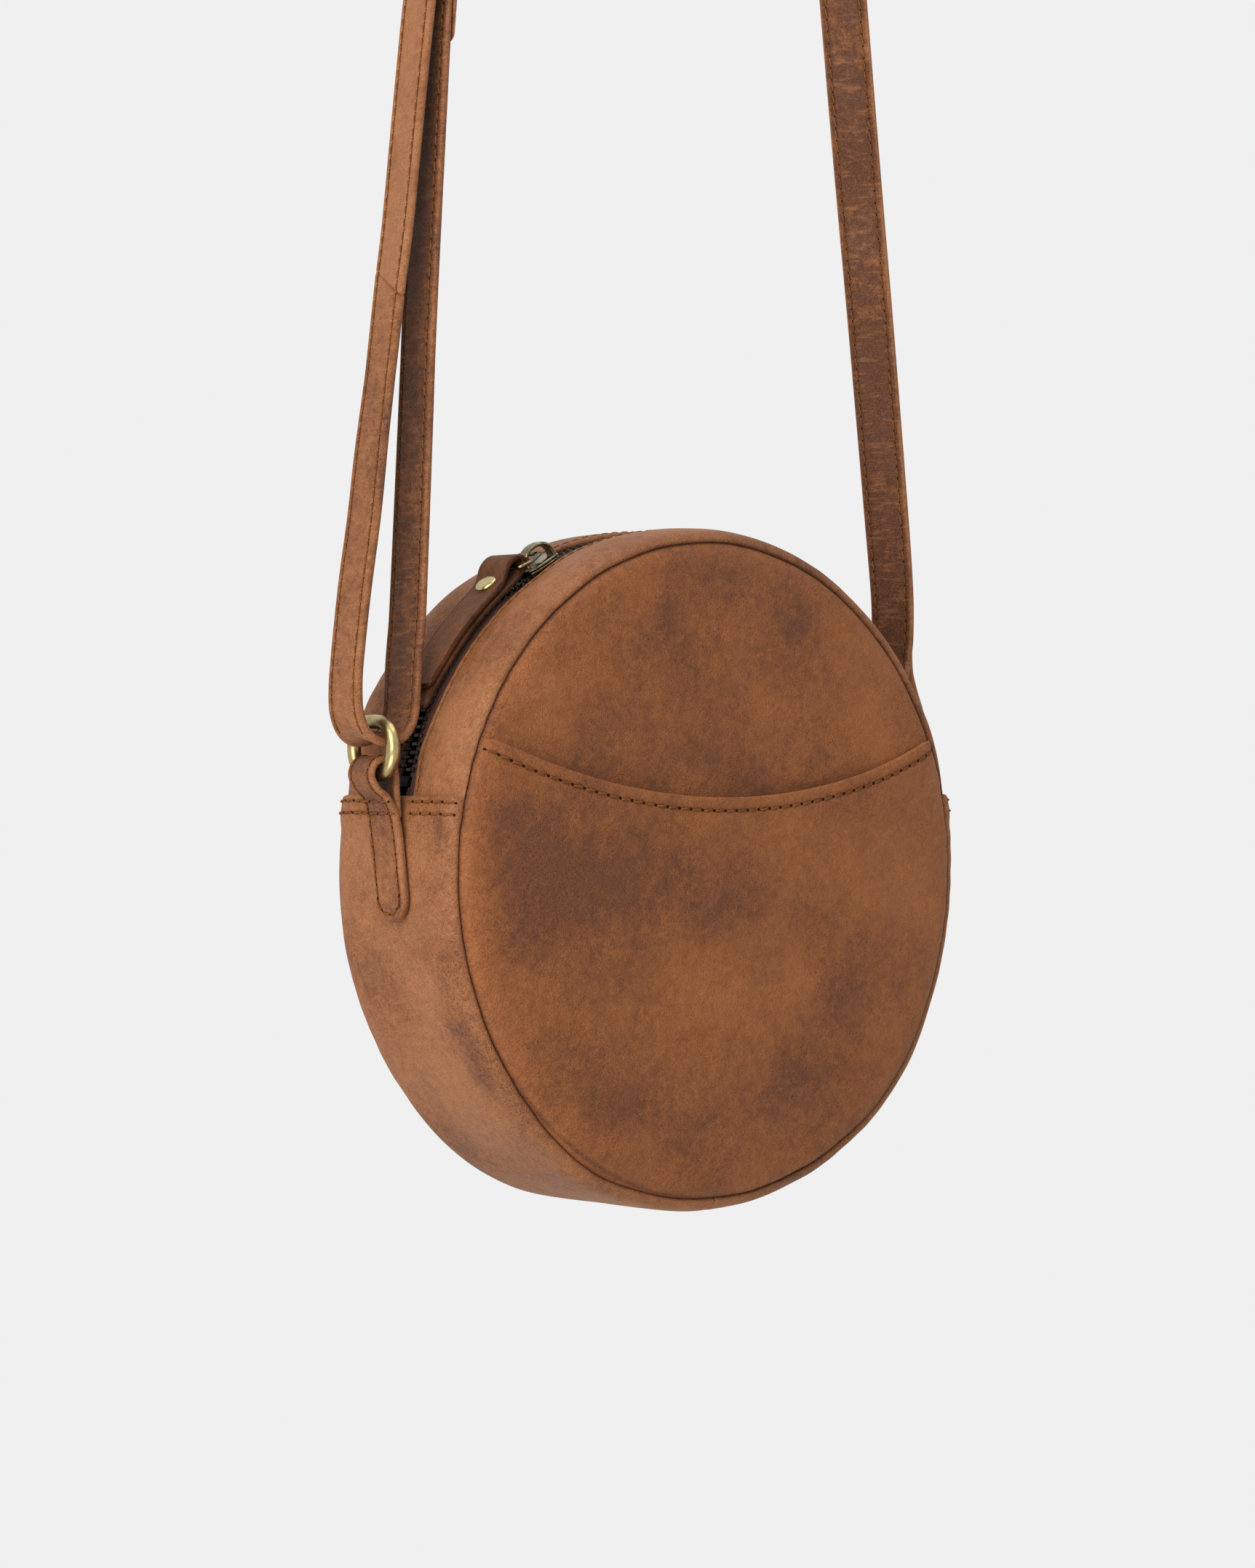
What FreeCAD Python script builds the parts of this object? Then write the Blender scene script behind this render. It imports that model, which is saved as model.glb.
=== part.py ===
"""Round leather shoulder bag, built piece by piece around the bag's own centre.

Millimetres. +X is to the right as the bag is seen from the front, the front faces -Y and +Z is up.
The origin is under the crown of the shoulder strap, where the bag hangs, so the bag's centre lies
hang_drop below it. Every piece is drawn about the bag's centre, or in its own local frame, and placed.
"""
import FreeCAD
import Part
import Sketcher
import math
import os

# Driving dimensions: name, size in millimetres or degrees, meaning
DIMENSIONS = [
    ("bag_radius", 100.0, "outside of the gusset"),
    ("seam_half_depth", 26.5, "bag centre to the plane of a panel seam"),
    ("shoulder_radius", 4.2, "roll of the gusset into the panel seam"),
    ("leather", 2.0, "panels and gusset"),
    ("sewn_gap", 0.1, "between two layers that are sewn together"),
    ("panel_crown", 2.5, "swell of a panel beyond its seam"),
    ("back_flat_radius", 60.0, "flat middle of the back panel"),
    ("pocket_leather", 1.8, "slip pocket on the front"),
    ("pocket_crown", 3.6, "swell of the slip pocket beyond its seam"),
    ("mouth_height", 20.4, "lowest point of the pocket's mouth above the bag centre"),
    ("mouth_radius", 222.0, "hollow curve of the pocket's mouth"),
    ("hem_height", 22.3, "top of the lower gusset above the bag centre"),
    ("slot_half_width", 5.8, "zip slot in the top gusset"),
    ("tape_thickness", 0.6, "zip tape"),
    ("tape_width", 11.0, "zip tape beyond the teeth"),
    ("tooth_pitch", 2.5, "along one row of the zip"),
    ("tooth_length", 1.5, "along the zip"),
    ("tooth_width", 2.4, "across the zip"),
    ("tooth_height", 3.0, "through the zip"),
    ("tooth_clear", 0.8, "tooth tip to the middle of the zip"),
    ("stop_inset", 4.0, "hem to the middle of a zip stop"),
    ("stop_length", 3.0, "zip stop along the zip"),
    ("run_clear", 0.3, "zip slider to the teeth and tape"),
    ("slider_length", 13.0, "zip slider"),
    ("slider_plate", 1.5, "upper and lower plate of the zip slider"),
    ("slider_flange", 0.9, "rolled edges of the zip slider"),
    ("slider_post", 1.0, "width of the post between the zip slider's plates"),
    ("slider_rest", 27.0, "place of the zip slider, degrees left of the top"),
    ("lug_width", 3.2, "eye on top of the zip slider"),
    ("lug_radius", 2.4, "eye on top of the zip slider"),
    ("link_wire", 1.3, "square section of the pull link"),
    ("link_length", 11.2, "pull link between its two bars"),
    ("link_shank", 3.3, "straight stretch of the pull link beside the puller"),
    ("link_side_gap", 0.35, "pull link to what its bars pass through"),
    ("link_bore", 1.05, "radius of the eyes that the pull link turns in"),
    ("puller_width", 13.0, "leather puller"),
    ("puller_leather", 1.7, "one layer of the puller"),
    ("puller_ride", 1.3, "underside of the puller above the gusset"),
    ("puller_under_length", 52.5, "lower layer of the puller from its fold"),
    ("puller_over_length", 45.0, "upper layer of the puller from its fold"),
    ("rivet_offset", 12.0, "puller rivet from the fold"),
    ("rivet_cap_radius", 3.5, "puller rivet"),
    ("rivet_base_radius", 3.2, "puller rivet"),
    ("rivet_base", 0.7, "thickness of the rivet's back"),
    ("rivet_rim", 0.45, "edge of the rivet's cap"),
    ("rivet_dome", 1.1, "rise of the rivet's cap"),
    ("rivet_shank", 1.5, "radius of the rivet's shank"),
    ("strap_width", 15.0, "shoulder strap"),
    ("strap_leather", 2.6, "shoulder strap, two layers"),
    ("ring_wire", 4.0, "oval ring"),
    ("ring_side_gap", 1.0, "oval ring to the edge of the strap"),
    ("ring_inner_height", 11.0, "oval ring"),
    ("ring_clear", 0.35, "oval ring to the leather that it turns in"),
    ("ring_gap", 5.3, "middle of the oval ring out from the gusset"),
    ("ring_rise", 13.0, "middle of the oval ring above the hem"),
    ("tab_width", 15.0, "tab on the gusset"),
    ("tab_loop_width", 12.0, "tab where it passes through the ring"),
    ("tab_loop_leather", 2.0, "tab where it passes through the ring"),
    ("tab_leather", 3.6, "tab on the gusset, two layers"),
    ("tab_low", 13.5, "lower end of the tab below the bag centre"),
    ("tab_lift", 4.0, "where the tab leaves the gusset, degrees above the bag centre"),
    ("lining", 0.5, "cloth lining"),
    ("hang_drop", 354.0, "underside of the strap's crown above the bag centre"),
    ("left_lean", 7.9, "outer strand on the left, degrees from upright"),
    ("right_lean", 7.3, "strand on the right, degrees from upright"),
    ("loop_radius", 10.3, "strap's loop through the left ring, at mid thickness"),
    ("sewn_end", 28.0, "doubled end of the strap above the right ring"),
    ("splice_height", 163.0, "join between the strap's two lengths above the bag centre"),
    ("tail_start", 25.0, "loop to the free length of the inner strand"),
    ("tail_leather", 1.6, "thinned end of the inner strand round the buckle's bar"),
    ("buckle_drop", 21.5, "strap buckle below the start of the strap's crown"),
    ("buckle_length", 20.0, "strap buckle along the strap"),
    ("buckle_bar_radius", 1.5, "cross bar of the strap buckle"),
    ("buckle_plate", 2.2, "strap buckle"),
    ("buckle_side", 2.0, "width of the strap buckle's sides"),
    ("buckle_side_gap", 0.5, "strap buckle to the edge of the strap"),
    ("buckle_clear", 0.35, "strap buckle to the face of the strap"),
    ("buckle_ear", 5.2, "ears of the strap buckle along the strap"),
    ("bar_clear", 0.15, "buckle's bar to the leather round it"),
]

# Values worked out from the driving dimensions: name, formula
FORMULAS = [
    ("bag_z", "-Dims.hang_drop"),
    ("inner_radius", "Dims.bag_radius - Dims.leather"),
    ("seam_radius", "Dims.bag_radius - Dims.shoulder_radius"),
    ("seam_inner_depth", "Dims.seam_half_depth - Dims.leather"),
    ("shoulder_depth", "Dims.seam_half_depth - Dims.shoulder_radius"),
    ("shoulder_inner_radius", "Dims.shoulder_radius - Dims.leather"),
    ("panel_radius", "seam_radius - Dims.sewn_gap"),
    ("panel_crown_depth", "Dims.seam_half_depth + Dims.panel_crown"),
    ("panel_inner_crown_depth", "panel_crown_depth - Dims.leather"),
    ("panel_arc", "(panel_radius^2 + Dims.panel_crown^2) / (2 * Dims.panel_crown)"),
    ("back_arc", "((panel_radius - Dims.back_flat_radius)^2 + Dims.panel_crown^2) / (2 * Dims.panel_crown)"),
    ("pocket_inner_depth", "Dims.seam_half_depth + Dims.sewn_gap"),
    ("pocket_rim_depth", "pocket_inner_depth + Dims.pocket_leather"),
    ("pocket_inner_crown_depth", "pocket_inner_depth + Dims.pocket_crown"),
    ("pocket_crown_depth", "pocket_rim_depth + Dims.pocket_crown"),
    ("pocket_arc", "(panel_radius^2 + Dims.pocket_crown^2) / (2 * Dims.pocket_crown)"),
    ("mouth_centre", "Dims.mouth_height + Dims.mouth_radius"),
    ("hem_angle", "asin(Dims.hem_height / Dims.bag_radius) / 1 deg"),
    ("lower_angle", "90 + hem_angle"),
    ("top_angle", "180 - 2 * hem_angle - 2 * Dims.sewn_gap / Dims.bag_radius * 180 / pi"),
    ("tape_outer", "inner_radius - Dims.sewn_gap"),
    ("tape_inner", "tape_outer - Dims.tape_thickness"),
    ("chain_radius", "tape_outer - Dims.tape_thickness / 2"),
    ("tooth_outer", "chain_radius + Dims.tooth_height / 2"),
    ("tooth_inner", "chain_radius - Dims.tooth_height / 2"),
    ("tooth_side", "Dims.tooth_clear + Dims.tooth_width"),
    ("tape_side", "tooth_side + Dims.sewn_gap"),
    ("tape_far_side", "tape_side + Dims.tape_width"),
    ("stop_angle", "90 - hem_angle - Dims.stop_inset / chain_radius * 180 / pi"),
    ("stop_turn", "-stop_angle"),
    ("stop_spread", "2 * stop_angle"),
    ("chain_angle", "stop_angle - (Dims.stop_length + Dims.tooth_pitch) / 2 / chain_radius * 180 / pi"),
    ("tooth_step", "Dims.tooth_pitch / chain_radius * 180 / pi"),
    ("tooth_count", "floor(2 * chain_angle / tooth_step)"),
    ("chain_turn_front", "-tooth_step * tooth_count / 2"),
    ("chain_turn_back", "chain_turn_front + tooth_step / 2"),
    ("plate_low", "tooth_outer + Dims.run_clear"),
    ("plate_top", "plate_low + Dims.slider_plate"),
    ("sole_top", "tooth_inner - Dims.run_clear"),
    ("sole_low", "sole_top - Dims.slider_plate"),
    ("flange_low", "tape_outer + Dims.run_clear"),
    ("flange_high", "tape_inner - Dims.run_clear"),
    ("flange_side", "tooth_side + Dims.run_clear + Dims.sewn_gap"),
    ("slider_side", "flange_side + Dims.slider_flange"),
    ("slider_post_side", "Dims.slider_post / 2"),
    ("slider_angle", "Dims.slider_length / chain_radius * 180 / pi"),
    ("puller_low", "Dims.bag_radius + Dims.puller_ride"),
    ("pull_radius", "puller_low + Dims.puller_leather + Dims.link_bore"),
    ("puller_under_top", "puller_low + Dims.puller_leather"),
    ("puller_over_low", "pull_radius + Dims.link_bore"),
    ("puller_top", "puller_over_low + Dims.puller_leather"),
    ("puller_side", "Dims.puller_width / 2"),
    ("fold_radius", "Dims.link_bore + Dims.puller_leather"),
    ("link_angle", "2 * asin(Dims.link_length / 2 / pull_radius) / 1 deg"),
    ("rivet_angle", "Dims.rivet_offset / pull_radius * 180 / pi"),
    ("under_angle", "(Dims.puller_under_length - Dims.rivet_offset) / pull_radius * 180 / pi"),
    ("over_angle", "(Dims.puller_over_length - Dims.rivet_offset) / pull_radius * 180 / pi"),
    ("fold_x", "pull_radius * sin(rivet_angle)"),
    ("fold_z", "pull_radius * cos(rivet_angle)"),
    ("slider_turn", "-Dims.slider_rest"),
    ("link_turn", "-Dims.slider_rest - link_angle / 2"),
    ("puller_turn", "-Dims.slider_rest - link_angle - rivet_angle"),
    ("link_x", "-pull_radius * sin(Dims.slider_rest)"),
    ("link_z", "pull_radius * cos(Dims.slider_rest) - Dims.hang_drop"),
    ("lug_side", "Dims.lug_width / 2"),
    ("lug_root", "plate_low + Dims.slider_plate / 2"),
    ("link_half", "Dims.link_wire / 2"),
    ("link_near_inner", "lug_side + Dims.link_side_gap"),
    ("link_near_outer", "link_near_inner + Dims.link_wire"),
    ("link_far_inner", "puller_side + Dims.link_side_gap"),
    ("link_far_outer", "link_far_inner + Dims.link_wire"),
    ("link_far_edge", "-Dims.link_length - link_half"),
    ("link_far_eye", "link_half - Dims.link_length"),
    ("link_shank_x", "Dims.link_shank - Dims.link_length"),
    ("rivet_base_top", "puller_low - Dims.sewn_gap"),
    ("rivet_base_low", "rivet_base_top - Dims.rivet_base"),
    ("rivet_cap_low", "puller_top + Dims.sewn_gap / 2"),
    ("rivet_cap_rim", "rivet_cap_low + Dims.rivet_rim"),
    ("rivet_cap_top", "rivet_cap_rim + Dims.rivet_dome"),
    ("rivet_arc", "(Dims.rivet_cap_radius^2 + Dims.rivet_dome^2) / (2 * Dims.rivet_dome)"),
    ("rivet_hole", "Dims.rivet_shank + Dims.sewn_gap"),
    ("ring_out", "Dims.bag_radius + Dims.ring_gap"),
    ("ring_height", "Dims.hem_height + Dims.ring_rise"),
    ("wire_radius", "Dims.ring_wire / 2"),
    ("ring_end", "(Dims.ring_inner_height + Dims.ring_wire) / 2"),
    ("ring_reach", "Dims.strap_width / 2 + Dims.ring_side_gap + wire_radius"),
    ("ring_straight", "ring_reach - ring_end"),
    ("ring_row_z", "ring_height - Dims.hang_drop"),
    ("upper_bar_z", "ring_height + ring_end"),
    ("lower_bar_z", "ring_height - ring_end"),
    ("ring_bore", "ring_end - wire_radius - Dims.ring_clear"),
    ("strap_side", "Dims.strap_width / 2"),
    ("strap_eye", "ring_end - sqrt(ring_bore^2 - (strap_side - ring_straight)^2)"),
    ("strap_eye_outer", "strap_eye + Dims.strap_leather"),
    ("tab_loop_side", "Dims.tab_loop_width / 2"),
    ("tab_eye", "ring_end - sqrt(ring_bore^2 - (tab_loop_side - ring_straight)^2)"),
    ("tab_eye_outer", "tab_eye + Dims.tab_loop_leather"),
    ("tab_side", "Dims.tab_width / 2"),
    ("tab_in", "Dims.bag_radius + Dims.sewn_gap"),
    ("tab_out", "tab_in + Dims.tab_leather"),
    ("tab_low_angle", "asin(Dims.tab_low / tab_out) / 1 deg"),
    ("tab_root_in_x", "tab_in * cos(Dims.tab_lift)"),
    ("tab_root_in_z", "tab_in * sin(Dims.tab_lift)"),
    ("tab_root_out_x", "tab_out * cos(Dims.tab_lift)"),
    ("tab_root_out_z", "tab_out * sin(Dims.tab_lift)"),
    ("tab_outer_x", "ring_out + tab_eye_outer"),
    ("tab_inner_x", "ring_out - tab_eye_outer"),
    ("lining_depth", "seam_inner_depth - Dims.sewn_gap"),
    ("lining_inner_depth", "lining_depth - Dims.lining"),
    ("lining_panel_radius", "seam_radius"),
    ("lining_outer", "inner_radius - Dims.sewn_gap"),
    ("lining_inner", "lining_outer - Dims.lining"),
    ("lining_top_outer", "tape_inner - Dims.sewn_gap"),
    ("lining_top_inner", "lining_top_outer - Dims.lining"),
    ("lining_slot", "slider_side + 2 * Dims.run_clear"),
    ("lining_lower_spread", "2 * lower_angle"),
    ("strap_half", "Dims.strap_leather / 2"),
    ("crown_height", "Dims.hang_drop + strap_half"),
    ("crown_top", "Dims.hang_drop + Dims.strap_leather"),
    ("loop_z", "upper_bar_z - strap_eye - strap_half + Dims.loop_radius"),
    ("loop_low", "loop_z - Dims.loop_radius"),
    ("loop_under", "loop_low - strap_half"),
    ("loop_over", "loop_low + strap_half"),
    ("loop_left_x", "-ring_out - Dims.loop_radius * cos(Dims.left_lean)"),
    ("loop_left_z", "loop_z + Dims.loop_radius * sin(Dims.left_lean)"),
    ("ring_left_x", "-ring_out"),
    ("left_pull", "cos(Dims.left_lean) * loop_left_x + sin(Dims.left_lean) * (crown_height - loop_left_z)"),
    ("right_pull", "sin(Dims.right_lean) * (crown_height - upper_bar_z) - cos(Dims.right_lean) * ring_out"),
    ("crown_share", "cos(Dims.right_lean) * (1 - sin(Dims.left_lean)) + "
                    "cos(Dims.left_lean) * (1 - sin(Dims.right_lean))"),
    ("crown_radius", "-(cos(Dims.right_lean) * left_pull + cos(Dims.left_lean) * right_pull) / crown_share"),
    ("crown_x", "(left_pull + (1 - sin(Dims.left_lean)) * crown_radius) / cos(Dims.left_lean)"),
    ("crown_z", "crown_height - crown_radius"),
    ("crown_left_x", "crown_x - crown_radius * cos(Dims.left_lean)"),
    ("crown_left_z", "crown_z + crown_radius * sin(Dims.left_lean)"),
    ("crown_right_x", "crown_x + crown_radius * cos(Dims.right_lean)"),
    ("crown_right_z", "crown_z + crown_radius * sin(Dims.right_lean)"),
    ("right_end", "strap_eye + strap_half"),
    ("right_end_x", "ring_out - right_end * sin(Dims.right_lean)"),
    ("right_end_z", "upper_bar_z + right_end * cos(Dims.right_lean)"),
    ("sewn_face", "1.5 * Dims.strap_leather"),
    ("sewn_low_x", "right_end_x + sewn_face * cos(Dims.right_lean)"),
    ("sewn_low_z", "right_end_z + sewn_face * sin(Dims.right_lean)"),
    ("sewn_mid_x", "right_end_x - Dims.sewn_end * sin(Dims.right_lean)"),
    ("sewn_mid_z", "right_end_z + Dims.sewn_end * cos(Dims.right_lean)"),
    ("sewn_high_x", "sewn_mid_x + sewn_face * cos(Dims.right_lean)"),
    ("sewn_high_z", "sewn_mid_z + sewn_face * sin(Dims.right_lean)"),
    ("splice_x", "loop_left_x + (Dims.splice_height - loop_left_z) * tan(Dims.left_lean)"),
    ("splice_gap_z", "Dims.splice_height + Dims.sewn_gap * cos(Dims.left_lean)"),
    ("splice_gap_x", "splice_x + Dims.sewn_gap * sin(Dims.left_lean)"),
    ("buckle_x", "crown_left_x - Dims.buckle_drop * sin(Dims.left_lean)"),
    ("buckle_z", "crown_left_z - Dims.buckle_drop * cos(Dims.left_lean)"),
    ("buckle_row_z", "buckle_z - Dims.hang_drop"),
    ("bar_eye", "Dims.buckle_bar_radius + Dims.bar_clear"),
    ("bar_eye_outer", "bar_eye + Dims.tail_leather"),
    ("bar_out", "strap_half + Dims.buckle_clear + bar_eye_outer"),
    ("bar_x", "buckle_x + bar_out * cos(Dims.left_lean)"),
    ("bar_z", "buckle_z - bar_out * sin(Dims.left_lean)"),
    ("bar_row_z", "bar_z - Dims.hang_drop"),
    ("tail_reach", "sqrt((bar_x + ring_out)^2 + (bar_z - loop_z)^2)"),
    ("tail_lean", "(atan2(bar_x + ring_out; bar_z - loop_z) - asin(Dims.loop_radius / tail_reach)) / 1 deg"),
    ("loop_right_x", "Dims.loop_radius * cos(tail_lean) - ring_out"),
    ("loop_right_z", "loop_z - Dims.loop_radius * sin(tail_lean)"),
    ("tail_x", "loop_right_x + Dims.tail_start * sin(tail_lean)"),
    ("tail_z", "loop_right_z + Dims.tail_start * cos(tail_lean)"),
    ("tail_row_z", "tail_z - Dims.hang_drop"),
    ("tail_length", "sqrt(tail_reach^2 - Dims.loop_radius^2) - Dims.tail_start"),
    ("tail_end", "tail_length - bar_eye - Dims.tail_leather / 2"),
    ("buckle_face", "-strap_half - Dims.buckle_clear"),
    ("buckle_back", "buckle_face - Dims.buckle_plate"),
    ("buckle_inner", "strap_side + Dims.buckle_side_gap"),
    ("buckle_outer", "buckle_inner + Dims.buckle_side"),
    ("buckle_half", "Dims.buckle_length / 2"),
    ("buckle_window", "buckle_half - Dims.buckle_plate"),
    ("buckle_ear_half", "Dims.buckle_ear / 2"),
    ("buckle_ear_tip", "bar_out + Dims.buckle_bar_radius + Dims.bar_clear"),
    ("buckle_bar_length", "2 * buckle_inner"),
]

doc = FreeCAD.newDocument("circle_bag")
dims = doc.addObject("Spreadsheet::Sheet", "Dims")
derived = doc.addObject("Spreadsheet::Sheet", "Derived")
driving_names = [name for name, _, _ in DIMENSIONS]
parts = []


def fill_sheets():
    """Write the driving dimensions as plain numbers, and the formulas that follow from them."""
    for row, (name, size, meaning) in enumerate(DIMENSIONS, 1):
        dims.set(f"A{row}", meaning)
        dims.set(f"B{row}", str(size))
        dims.setAlias(f"B{row}", name)
    for row, (name, formula) in enumerate(FORMULAS, 1):
        derived.set(f"B{row}", "=" + formula)
        derived.setAlias(f"B{row}", name)
    doc.recompute()


def number(name):
    """The present value of a named size; a leading minus sign turns it round."""
    if name == "0":
        return 0.0
    if name.startswith("-"):
        return -number(name[1:])
    sheet = dims if name in driving_names else derived
    value = sheet.get(name)
    return float(getattr(value, "Value", value))


def cell(name):
    """The expression that binds a property to a named size."""
    if name == "0":
        return "0"
    if name.startswith("-"):
        return "-" + cell(name[1:])
    return ("Dims." if name in driving_names else "Derived.") + name


def side(sign, name):
    """A named size on the plus or the minus side."""
    if sign > 0:
        return name
    return name[1:] if name.startswith("-") else "-" + name


def new_body(label, x="0", z="bag_z", turn=None):
    """A body placed at x, z, and turned about +Y by a named angle in degrees."""
    body = doc.addObject("PartDesign::Body", label)
    body.Label = label
    if turn:
        upright = FreeCAD.Rotation(FreeCAD.Vector(0, 1, 0), number(turn))
        body.Placement = FreeCAD.Placement(FreeCAD.Vector(0, 0, 0), upright)
        body.setExpression("Placement.Rotation.Angle", cell(turn))
    body.setExpression("Placement.Base.x", cell(x))
    body.setExpression("Placement.Base.z", cell(z))
    parts.append(body)
    return body


def new_sketch(body, plane, shift=None):
    """An empty sketch on one of the body's own planes, moved along its normal by a named size."""
    sketch = body.newObject("Sketcher::SketchObject", "Sketch")
    support = [feature for feature in body.Origin.OriginFeatures if feature.Role == plane][0]
    sketch.AttachmentSupport = (support, [""])
    sketch.MapMode = "FlatFace"
    if shift:
        sketch.setExpression("AttachmentOffset.Base.z", cell(shift))
    return sketch


def bind(sketch, index, name):
    """Tie a sketch constraint to a named size."""
    sketch.setExpression(f"Constraints[{index}]", cell(name))


def arc_between(start, end, radius, turn):
    """The short arc from start to end, with its centre left (turn 1) or right (turn -1) of the way."""
    chord = end - start
    middle = (start + end) / 2
    rise = math.sqrt(radius ** 2 - (chord.Length / 2) ** 2)
    centre = middle + FreeCAD.Vector(-chord.y, chord.x, 0).normalize() * rise * turn
    first, last = (start, end) if turn > 0 else (end, start)
    angles = [math.atan2(point.y - centre.y, point.x - centre.x) for point in (first, last)]
    circle = Part.Circle(centre, FreeCAD.Vector(0, 0, 1), radius)
    return Part.ArcOfCircle(circle, *angles)


def draw(sketch, corners, arcs=None, closed=True):
    """Draw an outline or path through named corners. arcs gives {edge: (radius, turn)}."""
    arcs = arcs or {}
    points = [FreeCAD.Vector(number(x), number(y), 0) for x, y in corners]
    count = len(corners) if closed else len(corners) - 1
    ends = []
    for edge in range(count):
        start, end = points[edge], points[(edge + 1) % len(points)]
        if edge in arcs:
            radius, turn = arcs[edge]
            index = sketch.addGeometry(arc_between(start, end, number(radius), turn))
            bind(sketch, sketch.addConstraint(Sketcher.Constraint("Radius", index, number(radius))), radius)
            ends.append((index, 1, 2) if turn > 0 else (index, 2, 1))
        else:
            index = sketch.addGeometry(Part.LineSegment(start, end))
            ends.append((index, 1, 2))
    for edge in range(count if closed else count - 1):
        here, following = ends[edge], ends[(edge + 1) % count]
        sketch.addConstraint(Sketcher.Constraint("Coincident", here[0], here[2], following[0], following[1]))
    for corner, (x, y) in enumerate(corners):
        index, place = (ends[corner][0], ends[corner][1]) if corner < count else (ends[-1][0], ends[-1][2])
        for kind, name, value in (("DistanceX", x, points[corner].x), ("DistanceY", y, points[corner].y)):
            made = sketch.addConstraint(Sketcher.Constraint(kind, -1, 1, index, place, value))
            bind(sketch, made, name)


def draw_box(sketch, left, right, low, high):
    """Draw a rectangle between named sides."""
    draw(sketch, [(left, low), (right, low), (right, high), (left, high)])


def draw_circle(sketch, x, y, radius):
    """Draw a circle about a named point."""
    centre = FreeCAD.Vector(number(x), number(y), 0)
    index = sketch.addGeometry(Part.Circle(centre, FreeCAD.Vector(0, 0, 1), number(radius)))
    bind(sketch, sketch.addConstraint(Sketcher.Constraint("Radius", index, number(radius))), radius)
    for kind, name, value in (("DistanceX", x, centre.x), ("DistanceY", y, centre.y)):
        bind(sketch, sketch.addConstraint(Sketcher.Constraint(kind, -1, 1, index, 3, value)), name)


def pad(body, sketch, length):
    """Thicken a sketch evenly to both sides."""
    feature = body.newObject("PartDesign::Pad", "Pad")
    feature.Profile = sketch
    feature.SideType = "Symmetric"
    feature.setExpression("Length", cell(length))
    return feature


def pad_between(body, sketch, start, end):
    """Thicken a sketch from one named height above its plane to another, both on the plus side."""
    feature = body.newObject("PartDesign::Pad", "Pad")
    feature.Profile = sketch
    feature.setExpression("Length", f"{cell(end)} - {cell(start)}")
    return feature


def cut_through(body, sketch):
    """Cut a sketch right through, to both sides."""
    feature = body.newObject("PartDesign::Pocket", "Pocket")
    feature.Profile = sketch
    feature.Type = "ThroughAll"
    feature.SideType = "Symmetric"
    return feature


def spin(body, sketch, axis="H_Axis", angle=None, both_ways=False, backwards=False, second=None):
    """Turn a sketch about its own axis, all the way round or by named angles."""
    feature = body.newObject("PartDesign::Revolution", "Revolution")
    feature.Profile = sketch
    feature.ReferenceAxis = (sketch, [axis])
    feature.Midplane = both_ways
    feature.Reversed = backwards
    if second:
        feature.Type = "TwoAngles"
        feature.setExpression("Angle2", cell(second))
    if angle:
        feature.setExpression("Angle", cell(angle))
    else:
        feature.Angle = 360.0
    return feature


def sweep(body, profile, path):
    """Carry a profile along a path sketch."""
    feature = body.newObject("PartDesign::AdditivePipe", "Pipe")
    feature.Profile = profile
    feature.Spine = path
    return feature


def make_front_panel():
    body = new_body("front_panel")
    profile = new_sketch(body, "YZ_Plane")
    corners = [
        ("-panel_crown_depth", "0"),
        ("-seam_half_depth", "panel_radius"),
        ("-seam_inner_depth", "panel_radius"),
        ("-panel_inner_crown_depth", "0"),
    ]
    draw(profile, corners, {0: ("panel_arc", -1), 2: ("panel_arc", 1)})
    spin(body, profile)


def make_front_pocket():
    body = new_body("front_pocket")
    profile = new_sketch(body, "YZ_Plane")
    corners = [
        ("-pocket_crown_depth", "0"),
        ("-pocket_rim_depth", "panel_radius"),
        ("-pocket_inner_depth", "panel_radius"),
        ("-pocket_inner_crown_depth", "0"),
    ]
    draw(profile, corners, {0: ("pocket_arc", -1), 2: ("pocket_arc", 1)})
    spin(body, profile)
    mouth = new_sketch(body, "XZ_Plane")
    draw_circle(mouth, "0", "mouth_centre", "mouth_radius")
    cut_through(body, mouth)


def make_back_panel():
    body = new_body("back_panel")
    profile = new_sketch(body, "YZ_Plane")
    corners = [
        ("panel_crown_depth", "0"),
        ("panel_crown_depth", "back_flat_radius"),
        ("seam_half_depth", "panel_radius"),
        ("seam_inner_depth", "panel_radius"),
        ("panel_inner_crown_depth", "back_flat_radius"),
        ("panel_inner_crown_depth", "0"),
    ]
    draw(profile, corners, {1: ("back_arc", 1), 3: ("back_arc", -1)})
    spin(body, profile)


def make_lower_gusset(label, backwards):
    """Half of the lower gusset, from the seam at the bottom up to its hem."""
    body = new_body(label)
    profile = new_sketch(body, "YZ_Plane")
    corners = [
        ("-seam_half_depth", "-seam_radius"),
        ("-shoulder_depth", "-bag_radius"),
        ("shoulder_depth", "-bag_radius"),
        ("seam_half_depth", "-seam_radius"),
        ("seam_inner_depth", "-seam_radius"),
        ("shoulder_depth", "-inner_radius"),
        ("-shoulder_depth", "-inner_radius"),
        ("-seam_inner_depth", "-seam_radius"),
    ]
    outer, inner = ("shoulder_radius", 1), ("shoulder_inner_radius", -1)
    draw(profile, corners, {0: outer, 2: outer, 4: inner, 6: inner})
    spin(body, profile, angle="lower_angle", backwards=backwards)


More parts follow.
